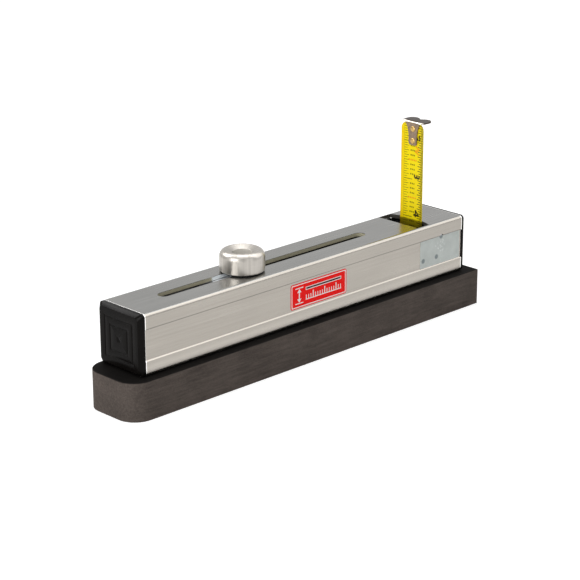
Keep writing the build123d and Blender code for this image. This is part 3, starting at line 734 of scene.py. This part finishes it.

# %% [markdown]
# ## The hook
# The hook is a strip of steel, stamped and bent: a tapered leg that is riveted to the tape, and a
# wide flange with two lobes. It is modelled the same way, as one sheet that goes up the leg,
# round the bend and out to the flange's edge, and then gets its thickness. Its finish has painted
# shade that makes the flange darkest, and a painted highlight round the bend.

# %% Press the hook
HOOK_THICKNESS = 0.9 * MM
TAPE_THICKNESS = 0.15 * MM
TAPE_CROWN = 1.2 * MM
HOOK_BEND = 1.0 * MM
HOOK_COLUMNS = 24
LEG_ROWS = 20
BEND_ROWS = 8
FLANGE_ROWS = 10
BEND_HIGHLIGHT = 1.2 * MM
BEND_HIGHLIGHT_FADE = 0.4 * MM
FLANGE_FADE = 0.5 * MM
hook_low, hook_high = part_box("tape_hook")
tape_edge_x = blade_high.x - TAPE_CROWN - TAPE_THICKNESS / 2
flange_middle_z = hook_high.z - HOOK_THICKNESS / 2


def stamped_steel():
    """Dark steel, with painted shade on its flange and a painted highlight round its bend."""
    made = Finish("stamped_steel", {"Metallic": 1.0})
    place = made.place()
    x, _, z = made.axes(place)
    marks = made.noise(place, (900, 900, 500), detail=4.0, rough=0.6)
    clouds = made.noise(place, 300, detail=4.0)
    tone = ((marks - 0.5) * 1.2 + (clouds - 0.5) * 0.8 + 0.5).clamped()
    leg = made.mix(tone, (0.13, 0.095, 0.068), (0.36, 0.265, 0.19))
    behind = ((x - hook_low.x - BEND_HIGHLIGHT) / BEND_HIGHLIGHT_FADE).clamped()
    high = ((z - hook_high.z + BEND_HIGHLIGHT) / FLANGE_FADE).clamped()
    # Painted shade: the flange is coloured nearly black.
    metal = made.mix(behind * high * 0.97, leg, (0.045, 0.03, 0.021))
    # Painted highlight: the bend is coloured pale.
    metal = made.mix(high * (1 - behind), metal, (0.88, 0.82, 0.72))
    return made.done(metal, 0.26 + 0.12 * marks + 0.08 * clouds, marks, 0.000015)


finishes["hook"] = stamped_steel()


def crown_x(across):
    """The middle of the tape's thickness at a place across its width, bowed like its crown."""
    return tape_edge_x + TAPE_CROWN * (1 - (across / tape_half) ** 2)


def smooth_curve(points, count):
    """Points spread along a smooth curve through the given points."""
    ends = [2 * points[0] - points[1]] + list(points) + [2 * points[-1] - points[-2]]
    spots = []
    for step in range(count + 1):
        whole = min(int(step * (len(points) - 1) / count), len(points) - 2)
        share = step * (len(points) - 1) / count - whole
        a, b, c, d = ends[whole:whole + 4]
        spots.append(0.5 * (2 * b + (c - a) * share + (2 * a - 5 * b + 4 * c - d) * share ** 2
                            + (3 * b - a - 3 * c + d) * share ** 3))
    return spots


LEG_OUTLINE = [(2.4, -14.6), (3.4, -13.4), (3.4, -10.4), (3.8, -6.0), (4.8, -2.4), (6.0, -0.4)]
LOBE_OUTLINE = [(7.3, 0), (8.3, 1.3), (9.5, 3.2), (9.8, 5.4), (9.1, 7.6), (7.2, 9.0), (5.0, 9.3)]
FLANGE_HALF = 9.0 * MM
lobe_points = [Vector((tape_edge_x + x * MM, y * MM)) for x, y in LOBE_OUTLINE]
lobe = smooth_curve(lobe_points, HOOK_COLUMNS)
leg_sides = smooth_curve([Vector(corner) * MM for corner in LEG_OUTLINE], LEG_ROWS)
SHARES = [step / HOOK_COLUMNS for step in range(-HOOK_COLUMNS, HOOK_COLUMNS + 1)]


def leg_points(half, out, z):
    """Points across the leg at one height, bowed like the tape and that far out from it."""
    points = []
    for share in SHARES:
        across = share * half
        x = crown_x(across) - TAPE_THICKNESS / 2 - HOOK_THICKNESS / 2 + out
        points.append(Vector((x, middle_y + across, z)))
    return points


rows = [(leg_points(half, 0, tape_top + drop), Vector((1, 0, 0))) for half, drop in leg_sides]
for step in range(1, BEND_ROWS + 1):
    turned_by = step / BEND_ROWS
    angle = math.pi / 2 * turned_by
    half = leg_sides[-1].x + (FLANGE_HALF - leg_sides[-1].x) * turned_by
    z = flange_middle_z - HOOK_BEND * (1 - math.sin(angle))
    points = leg_points(half, HOOK_BEND * (1 - math.cos(angle)), z)
    rows.append((points, Vector((math.cos(angle), 0, -math.sin(angle)))))
flange_start = rows[-1][0]
for step in range(1, FLANGE_ROWS + 1):
    points = []
    for share, start in zip(SHARES, flange_start):
        tip = lobe[round(abs(share) * HOOK_COLUMNS)]
        end = Vector((tip.x, middle_y + math.copysign(tip.y, share), flange_middle_z))
        points.append(start.lerp(end, step / FLANGE_ROWS))
    rows.append((points, Vector((0, 0, -1))))
hook_mesh = bent_sheet("hook", rows, HOOK_THICKNESS)
hook = piece("hook", hook_mesh, "tape_head", "hook", ["tape_hook"])
print("hook", len(hook_mesh.polygons), "faces, box", hook_low, hook_high)

# %% [markdown]
# ## The tape's print
# The scale is printed on the tape, so it has to stay on it while the tape runs through the tube.
# The finish therefore measures from the hook: it reads the hook's own places, wherever the hook
# is. From those come inch lines, fractions, small labels and the figures. A figure is a few
# strokes, and each stroke is a straight bar or part of a ring. What is printed near the hook can't
# be read in the photograph, so an orange zigzag stands there. The foot of the blade is darkened
# below the tube's top, where it stands in the shade.

# %% Print the tape
INCH = 25.4
FIRST_INCH_LINE = 12.3
FIGURE_BEFORE_LINE = 2.7
FIGURE_MIDDLE = 3.6
FIGURE_HEIGHT = 4.5
FIGURE_STRETCH = 5.2
STROKE = 0.58
LEFT_TICKS = -7.2
RIGHT_TICKS = 9.5
MARK_MIDDLE = 17.9
FRACTION_ROW = (-2.8, 1.4)
RED_ROW = (-4.0, 3.0)
ORANGE_EDGE = 6.6

# Each comb of lines: how many to the inch, how thick, and from where to where across the tape
COMBS = [
    (16, 0.28, LEFT_TICKS, LEFT_TICKS + 2.3),
    (8, 0.3, LEFT_TICKS, LEFT_TICKS + 3.5),
    (1, 0.4, LEFT_TICKS, -0.6),
    (32, 0.4, RIGHT_TICKS - 2.6, RIGHT_TICKS),
    (16, 0.5, RIGHT_TICKS - 4.2, RIGHT_TICKS),
    (8, 0.5, RIGHT_TICKS - 5.4, RIGHT_TICKS),
]

# Strokes in a box one unit high. A bar goes from one place to another. A ring has a centre and
# a radius, and may have only its right half or only its top half.
BAR, RING = "bar", "ring"
MARK = [(BAR, -0.5, -0.3, -0.15, 0.4), (BAR, -0.15, 0.4, 0.15, -0.4), (BAR, 0.15, -0.4, 0.5, 0.35)]
FIGURES = {
    2: [(RING, 0, 0.24, 0.26, 0, 1), (BAR, 0.22, 0.1, -0.36, -0.5), (BAR, -0.38, -0.5, 0.4, -0.5)],
    3: [(RING, 0, 0.25, 0.25, 1, 0), (RING, 0, -0.25, 0.25, 1, 0)],
    4: [(BAR, 0.2, -0.5, 0.2, 0.5), (BAR, 0.2, 0.5, -0.4, -0.15), (BAR, -0.4, -0.17, 0.4, -0.17)],
    5: [
        (BAR, -0.3, 0.5, 0.34, 0.5), (BAR, -0.3, 0.5, -0.3, 0.06),
        (RING, -0.02, -0.2, 0.3, 1, 0), (BAR, -0.3, 0.1, 0, 0.1),
    ],
    6: [(RING, 0, -0.2, 0.3, 0, 0), (BAR, -0.28, -0.2, 0.1, 0.5)],
    7: [(BAR, -0.36, 0.5, 0.36, 0.5), (BAR, 0.34, 0.5, -0.1, -0.5)],
    8: [(RING, 0, 0.26, 0.22, 0, 0), (RING, 0, -0.24, 0.26, 0, 0)],
}


def stroke(x, y, form, *sizes):
    """1 inside one stroke of a figure, in a box one unit high."""
    half = STROKE / FIGURE_HEIGHT
    if form == RING:
        centre_x, centre_y, radius, right_half, top_half = sizes
        from_x = x - centre_x
        from_y = y - centre_y
        inside = band(length(from_x, from_y), radius, half)
        if right_half:
            inside = inside * (from_x > -0.5 * radius)
        if top_half:
            inside = inside * (from_y > -0.1 * radius)
        return inside
    start = Vector(sizes[:2])
    end = Vector(sizes[2:])
    bar = (end - start).normalized()
    centre = (start + end) / 2
    along = (x - centre.x) * bar.x + (y - centre.y) * bar.y
    aside = (y - centre.y) * bar.x - (x - centre.x) * bar.y
    return band(along, 0.0, (end - start).length / 2 + half * 0.5) * band(aside, 0.0, half)


def drawn(strokes, x, y):
    """1 inside a figure."""
    return sum(stroke(x, y, *sizes) for sizes in strokes)


def printed_tape(name, guide, figures):
    """Yellow lacquer with the scale in black and red, measured from the hook that guides it."""
    made = Finish(name, {"Specular IOR Level": 0.1})
    _, y, z = made.axes(made.place(guide))
    across = (middle_y - y) / MM
    down = (tape_top - z) / MM
    place = made.place()
    clouds = made.noise(place, (120, 120, 60), detail=4.0)
    fine = made.noise(place, (2500, 2500, 900), detail=2.0)
    past_line = down - FIRST_INCH_LINE

    def comb(pitch, thickness):
        return band((past_line + pitch / 2) % pitch, pitch / 2, thickness / 2)

    def stretch(low, high):
        return band(across, (low + high) / 2, (high - low) / 2)

    ticks = sum(comb(INCH / count, thick) * stretch(low, high) for count, thick, low, high in COMBS)
    edge_line = comb(INCH / 32, 0.3) * stretch(LEFT_TICKS - 0.5, LEFT_TICKS + 0.3)
    into_inch = past_line % INCH
    half_inch = band(into_inch, INCH / 2, INCH / 32)
    labelled = band(into_inch, INCH / 2, INCH / 2 - INCH / 16)
    from_eighth = (past_line + INCH / 16) % (INCH / 8) - INCH / 16
    slots = band((across + 10.0) % 1.5, 0.65, 0.5)
    row = labelled * band(from_eighth, -0.25, 0.5) * slots
    fractions = row * stretch(*FRACTION_ROW)
    glyph_y = (across - FIGURE_MIDDLE) / FIGURE_HEIGHT
    mark = drawn(MARK, (down - MARK_MIDDLE) / FIGURE_STRETCH, glyph_y)
    red = (row * half_inch * stretch(*RED_ROW) + mark * 0.7).clamped()
    black = (ticks + fractions * (1 - half_inch) * 0.8 + edge_line * 0.35).clamped()
    if figures:
        number = (past_line + FIGURE_BEFORE_LINE) / INCH + 2.5
        whole = number.maths("FLOOR", number)
        glyph_x = (number - whole - 0.5) * (INCH / FIGURE_STRETCH)
        for figure, strokes in FIGURES.items():
            black = black + drawn(strokes, glyph_x, glyph_y) * band(whole, float(figure), 0.5)
    black = black.clamped()
    yellow = made.mix(clouds, (0.94, 0.7, 0.003), (1.0, 0.84, 0.008))
    # The yellow turns more orange towards the tape's edge on the +Y side.
    warm_edge = ((-1 * across - ORANGE_EDGE) / 3.0).clamped()
    yellow = made.mix(warm_edge * 0.7, yellow, (0.84, 0.52, 0.003))
    printed = made.mix(red * 0.7, yellow, (0.88, 0.14, 0.01))
    printed = made.mix(black * 0.95, printed, (0.006, 0.006, 0.005))
    in_tube = ((tube_high.z - made.axes(place)[2]) / MM).clamped()
    surface = made.mix(in_tube * 0.8, printed, (0.03, 0.022, 0.002))
    roughness = 0.28 + 0.12 * fine + 0.1 * black
    return made.done(surface, roughness, fine * 0.4 - black * 0.2, 0.00001)


blade_finish = printed_tape("printed_tape", hook, True)
finishes["tape"] = printed_tape("printed_tape_inside", hook, False)
print("the tape's print is ready")

# %% [markdown]
# ## The tape
# On the real gauge it is one strip. Here it is three pieces that meet: the flat run, the bend,
# which stays round the roller with the housing, and the rising blade. The run and the blade stay
# where they are made and are on no body. The blade leaves the roller flat and takes its crown
# higher up.

# %% Roll the tape
TAPE_CORNER = 4.0 * MM
CROWN_START = 15.0 * MM
BLADE_ROWS = 110
STRAIGHT = 0.94
RUN_ROWS = 60
TURN_ROWS = 12
HALF_COLUMNS = 12
EDGE_SHARE = 0.9999  # The rounded corner is upright at the very edge
COLUMNS = [
    math.sin(math.pi / 2 * step / HALF_COLUMNS) for step in range(-HALF_COLUMNS, HALF_COLUMNS + 1)
]
_, bend_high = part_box("tape_bend")
run_low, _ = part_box("tape_run")
bend_radius = bend_high.x - TAPE_THICKNESS / 2 - axle_x
bend_x = axle_x + bend_radius
run_z = axle_z - bend_radius


def end_height(across):
    """The tape's end, with its rounded corners."""
    past = max(0.0, abs(across) - (tape_half - TAPE_CORNER))
    return tape_top - TAPE_CORNER + math.sqrt(max(0.0, TAPE_CORNER ** 2 - past ** 2))


blade_rows = []
for step in range(BLADE_ROWS + 1):
    share = step / BLADE_ROWS
    points = []
    for column in COLUMNS:
        across = column * tape_half * EDGE_SHARE
        z = axle_z + (tape_top - TAPE_CORNER - axle_z) * min(1.0, share / STRAIGHT)
        if share > STRAIGHT:
            past = (share - STRAIGHT) / (1 - STRAIGHT)
            z += (end_height(across) - (tape_top - TAPE_CORNER)) * past
        ease = min(1.0, (z - axle_z) / CROWN_START)
        ease = ease * ease * (3 - 2 * ease)
        x = bend_x + (crown_x(across) - bend_x) * ease
        points.append(Vector((x, middle_y + across, z)))
    blade_rows.append((points, Vector((1, 0, 0))))
blade_mesh = bent_sheet("blade", blade_rows, TAPE_THICKNESS)
blade = piece("blade", blade_mesh, None, "tape", ["tape_blade"], finish=blade_finish)
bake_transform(blade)


def tape_points(x, z):
    """Points across the tape where it lies flat."""
    return [Vector((x, middle_y + column * tape_half, z)) for column in COLUMNS]


bend_rows = []
for step in range(TURN_ROWS + 1):
    angle = math.pi / 2 * step / TURN_ROWS
    normal = Vector((math.sin(angle), 0, -math.cos(angle)))
    spot = Vector((axle_x, middle_y, axle_z)) + normal * bend_radius
    bend_rows.append((tape_points(spot.x, spot.z), normal))
bend_mesh = bent_sheet("bend", bend_rows, TAPE_THICKNESS)
piece("bend", bend_mesh, "housing", "tape", ["tape_bend"])

run_rows = []
for step in range(RUN_ROWS + 1):
    x = run_low.x + (axle_x - run_low.x) * step / RUN_ROWS
    run_rows.append((tape_points(x, run_z), Vector((0, 0, -1))))
run_mesh = bent_sheet("run", run_rows, TAPE_THICKNESS)
run = piece("run", run_mesh, None, "tape", ["tape_run"])
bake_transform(run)
print("tape rises from", axle_z, "to", tape_top, "bend radius", bend_radius)

# %% [markdown]
# ## The label
# The gauge has a small red label in the band on its front. Here it carries plain marks only: a
# white line round its edge, a height arrow between two levels, and a row of scale lines.

# %% Print the label
LABEL_CORNER = 1.5 * MM
LABEL_EDGE = 0.05 * MM
SCALE_MIDDLE = 4.0
SCALE_HALF = 15.5
ARROW = -17.0
label_low, label_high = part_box("label")
label_size = label_high - label_low


def label_print():
    made = Finish("label_print", {"Specular IOR Level": 0.1})
    place = made.place()
    x, y, _ = made.axes(place)
    across = x / MM
    up = y / MM
    from_side = label_size.x / 2 / MM - abs(across)
    from_top = label_size.z / 2 / MM - abs(up)
    from_edge = from_side.maths("SMOOTH_MIN", from_side, from_top, 1.2)
    keyline = band(from_edge, 0.95, 0.3)
    teeth = band((across + 40.0) % 2.0, 1.0, 0.3) * band(up, -2.2, 1.5)
    long_teeth = band((across + 40.0) % 10.0, 5.0, 0.4) * band(up, -1.3, 2.4)
    ruled = (teeth + long_teeth) * band(across, SCALE_MIDDLE, SCALE_HALF + 0.1)
    rail_and_bar = band(up, -3.6, 0.3) + band(up, 3.4, 1.0)
    rail_and_bar = rail_and_bar * band(across, SCALE_MIDDLE, SCALE_HALF)
    stem = band(across, ARROW, 0.45) * band(up, 0.0, 3.6)
    from_middle = abs(up)
    heads = band(across, ARROW, (4.4 - from_middle) * 0.75) * band(from_middle, 3.2, 1.2)
    levels = band(from_middle, 4.9, 0.3) * band(across, ARROW, 3.4)
    black_bar = band(up, 3.4, 0.55) * band(across, SCALE_MIDDLE, SCALE_HALF - 0.45)
    white = (keyline + ruled + rail_and_bar + stem + heads + levels).clamped()
    clouds = made.noise(place, 140)
    red = made.mix(clouds, (0.94, 0.004, 0.003), (1.0, 0.007, 0.006))
    printed = made.mix(white, red, (0.95, 0.92, 0.89))
    printed = made.mix(black_bar, printed, (0.06, 0.012, 0.014))
    return made.done(printed, 0.32 + 0.1 * clouds, white, 0.00001)


def rounded_rectangle(half_width, half_height, corner, height, steps=6):
    """The points of a level rounded rectangle round the Z axis."""
    points = []
    for quarter, (side_x, side_y) in enumerate(((1, 1), (-1, 1), (-1, -1), (1, -1))):
        x = side_x * (half_width - corner)
        y = side_y * (half_height - corner)
        for step in range(steps + 1):
            angle = math.pi / 2 * (quarter + step / steps)
            arc = corner * Vector((math.cos(angle), math.sin(angle), 0))
            points.append(Vector((x, y, height)) + arc)
    return points


def sheet(name, slot, node, corner, edge):
    """A thin rounded plate with an eased rim, in the place of a node flat on the tube's side."""
    low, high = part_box(node)
    width, thickness, height = high - low
    rings = [[Vector((0, 0, 0))]]
    for inset, level in ((0, 0), (0, thickness - edge), (edge, thickness)):
        halves = (width / 2 - inset, height / 2 - inset)
        rings.append(rounded_rectangle(*halves, max(corner - inset, edge), level))
    rings.append([Vector((0, 0, thickness))])
    centre = (low + high) / 2
    place = Matrix.Translation((centre.x, high.y, centre.z)) @ ACROSS
    piece(name, skin(name, rings), "housing", slot, [node], place)


finishes["label"] = label_print()
sheet("label_plate", "label", "label", LABEL_CORNER, LABEL_EDGE)
print("label", label_size)

# %% [markdown]
# ## The film over the pins
# A clear film covers the pins' ends, so that they can't work out. It has aged to a pale green
# haze with whiter smudges where air crept under it, and it lets a little of the metal through.
# The pins' ends show in it as soft dark spots, measured from the pins' own places.

# %% Lay the film
FILM_CORNER = 0.6 * MM
FILM_EDGE = 0.04 * MM
DOT_RADIUS = 1.6 * MM
DOT_BLUR = 0.7 * MM
SMUDGE_DROP = 6 * MM
SMUDGE_SPREAD = 4 * MM
film_centre = sum(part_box("pin_film"), Vector()) / 2


def distance(x, y, spot_x, spot_z):
    """How far a place on the film is from a spot of the frame."""
    return length(x - (spot_x - film_centre.x), y - (spot_z - film_centre.z))


def clear_film():
    made = Finish("clear_film", {"Specular IOR Level": 0.4})
    place = made.place()
    x, y, _ = made.axes(place)
    haze = made.noise(place, 110)
    smudge_noise = made.noise(place, 520, detail=5.0, rough=0.65)
    high_x, high_z, _ = pin_spots["guide_pin_high"]
    near = (1.5 - distance(x, y, high_x, high_z - SMUDGE_DROP) / SMUDGE_SPREAD).clamped()
    smudges = ((smudge_noise - 0.62 + 0.13 * near) * 8.0).clamped()
    dots = sum(
        ((DOT_RADIUS - distance(x, y, pin_x, pin_z)) / DOT_BLUR + 0.5).clamped()
        for pin_x, pin_z, _ in pin_spots.values()
    )
    surface = made.mix(haze, (0.68, 0.735, 0.7), (0.78, 0.83, 0.8))
    surface = made.mix(smudges * 0.8, surface, (0.95, 0.98, 0.97))
    surface = made.mix(dots * 0.85, surface, (0.2, 0.25, 0.26))
    made.feed("Alpha", (0.7 + 0.2 * haze + 0.2 * smudges).clamped())
    return made.done(surface, 0.22 + 0.3 * haze, haze, 0.00003)


finishes["film"] = clear_film()
sheet("film_sheet", "film", "pin_film", FILM_CORNER, FILM_EDGE)
print("film centre", film_centre)

# %% [markdown]
# ## End caps
# Each cap is one moulding: a thin rim, a wide chamfer, a face with square rings round a small
# dimple, and a hollow plug with fins that grip the tube. All its sections are rounded squares,
# so it is a skin over rounded squares as a knob is a skin over circles.

# %% Mould the end caps
CAP_DEPTH = 4.0 * MM
CAP_RIM = 1.9 * MM
CAP_INSET = 2.1 * MM
CAP_CORNER = 2.4 * MM
PLUG_DEPTH = 9.0 * MM
FIN_HALF = 16.3 * MM
CORE_HALF = 13.6 * MM
HOLLOW_HALF = 11.6 * MM
FIN_STARTS = (0.8 * MM, 3.6 * MM, 6.4 * MM)
FIN_THICKNESS = 1.0 * MM
RING_HALVES = (12.7 * MM, 8.1 * MM)
RING_WIDTH = 1.0 * MM
RING_DEPTH = 0.35 * MM
RING_SLOPE = 0.12 * MM
DIMPLE = (1.6 * MM, 1.2 * MM)
CAP_EDGE = 0.12 * MM
RIM_EDGE = 0.3 * MM
FACE_EDGE = 0.35 * MM
GROOVE_EDGE = 0.1 * MM
cap_half = (tube_high.z - tube_low.z) / 2 - 0.05 * MM


def cap_mesh(name):
    """The cap with its face towards +Z: corners of the outline are (half size, height, arc)."""
    corners = [(HOLLOW_HALF, 0), (HOLLOW_HALF, -PLUG_DEPTH), (CORE_HALF, -PLUG_DEPTH)]
    for start in FIN_STARTS:
        low = start - PLUG_DEPTH
        high = low + FIN_THICKNESS
        corners += [(CORE_HALF, low), (FIN_HALF, low), (FIN_HALF, high), (CORE_HALF, high)]
    corners += [(CORE_HALF, 0), (cap_half, 0, CAP_EDGE), (cap_half, CAP_RIM, RIM_EDGE)]
    corners.append((cap_half - CAP_INSET, CAP_DEPTH, FACE_EDGE))
    groove = CAP_DEPTH - RING_DEPTH
    for half in RING_HALVES:
        inner = half - RING_WIDTH
        corners += [(half, CAP_DEPTH, CAP_EDGE), (half - RING_SLOPE, groove, GROOVE_EDGE)]
        corners += [(inner, groove, GROOVE_EDGE), (inner - RING_SLOPE, CAP_DEPTH, CAP_EDGE)]
    corners += [(DIMPLE[0], CAP_DEPTH, CAP_EDGE), (DIMPLE[1], groove)]
    rings = [[Vector((0, 0, 0))]]
    for half, height in softened(corners):
        corner = min(CAP_CORNER, max(0.25 * MM, half * 0.6 - 7.4 * MM))
        rings.append(rounded_rectangle(half, half, corner, height, steps=5))
    rings.append([Vector((0, 0, groove))])
    return skin(name, rings)


tube_middle_z = (tube_low.z + tube_high.z) / 2
for side, x, quarter in (("left", tube_low.x, -1), ("right", tube_high.x, 1)):
    facing = Matrix.Rotation(quarter * math.pi / 2, 4, "Y")
    place = Matrix.Translation((x, middle_y, tube_middle_z)) @ facing
    name = f"cap_{side}"
    piece(name, cap_mesh(name), "housing", "cap", [f"end_cap_{side}"], place)
print("caps", 2 * cap_half)

# %% [markdown]
# ## Sawn, milled and extruded pieces
# The rest has its right shape in the model already. A copy of each mesh gets its sharp edges
# eased, and takes its finish. The block comes first, because the tube's finish looks for it.

# %% Ease the edges of the other pieces
bodies = frame["record"]["behaviour"]["bodies"]
body_of = {node: body for body, nodes in bodies.items() for node in nodes}
slot_of = {part["node"]: part["material_slot"] for part in frame["record"]["subparts"]}
EASED = {
    "slide_block": 0.15 * MM,
    "tube": 0.18 * MM,
    "base_block": 0.35 * MM,
    "tape_tail_plate": 0.1 * MM,
    "tail_screw": 0.05 * MM,
    "threaded_inserts": 0.08 * MM,
    "tape_guide_block": 0.2 * MM,
    "bend_roller": 0.12 * MM,
}
for node, width in EASED.items():
    made = eased(f"{node}_eased", node, width, slot_of[node], body_of[node])
    if node == "slide_block":
        finishes["tube"] = extruded_aluminium(made)
    print(node, len(made.data.polygons), "faces")

# %% [markdown]
# ## Floor, backdrop and light
# The photograph has a plain white ground. The world is white where the camera looks at it, and
# dimmer in reflections and as a lamp, so that colours keep their own brightness. The floor is pale
# and still takes the gauge's shadow. Soft lamps above, on the left and in front light the gauge.
# Bright metal is mostly what it mirrors, and a studio has large pale panels for that. So three
# more panels stand where the tube's edges and the knob's round look, and light nothing else.

# %% Light the scene
WORLD_LEVEL = 0.5
REFLECTED_LEVEL = 0.8
FLOOR_GLOW = 0.6
RAY_LEVELS = {"Is Glossy Ray": REFLECTED_LEVEL, "Is Transmission Ray": 1.0, "Is Camera Ray": 1.0}
ground = Finish("pale_floor", {"Roughness": 0.8, "Emission Strength": FLOOR_GLOW})
seen = sum(ground.node("ShaderNodeLightPath", out=ray) for ray in RAY_LEVELS).clamped()
grain = ground.noise(ground.place(), 4)
ground.feed("Base Color", ground.mix(grain, (0.74, 0.74, 0.74), (0.78, 0.78, 0.78)))
ground.feed("Emission Color", ground.mix(seen, (0, 0, 0), (1, 1, 1)))

FLOOR_HALF = 4.0
floor_mesh = bpy.data.meshes.new("floor")
signs = ((-1, -1), (1, -1), (1, 1), (-1, 1))
floor_corners = [(FLOOR_HALF * x, FLOOR_HALF * y, 0) for x, y in signs]
floor_mesh.from_pydata(floor_corners, [], [(0, 1, 2, 3)])
floor_mesh.materials.append(ground.material)
floor = in_scene("floor", floor_mesh)

world = bpy.data.worlds.new("white_room")
bpy.context.scene.world = world
world.use_nodes = True
room = Nodes(world.node_tree)
level = WORLD_LEVEL
for ray, ray_level in RAY_LEVELS.items():
    seen = room.node("ShaderNodeLightPath", out=ray)
    level = room.node("ShaderNodeMix", sockets={"Factor": seen, "A": level, "B": ray_level})
background = world.node_tree.nodes["Background"]
room.join((1, 1, 1), background.inputs["Color"])
room.join(level, background.inputs["Strength"])

# Each lamp: its place, size and power, and whether it lights more than reflections
AIM = Vector((0, 0, 0.05))
LAMPS = {
    "top_lamp": ((0.05, 0.05, 1.25), 0.7, 3.0, True),
    "left_lamp": ((-1.3, -0.15, 0.45), 0.7, 8.0, True),
    "front_lamp": ((-0.2, -1.4, 0.5), 0.9, 1.5, True),
    "top_panel": ((0.0, 0.0, 1.3), 1.8, 10.0, False),
    "back_panel": ((-0.45, 0.88, 0.94), 0.6, 9.0, False),
    "right_panel": ((0.95, -0.5, 0.95), 1.3, 8.0, False),
}
for name, (place, size, power, lights_all) in LAMPS.items():
    lamp = bpy.data.lights.new(name, "AREA")
    lamp.shape = "SQUARE"
    lamp.size = size
    lamp.energy = power
    made = in_scene(name, lamp)
    made.location = place
    made.rotation_euler = (AIM - Vector(place)).to_track_quat("-Z", "Y").to_euler()
    made.visible_diffuse = lights_all
    made.visible_camera = False
bpy.context.scene.view_settings.view_transform = "Standard"
print("lamps", sorted(LAMPS))
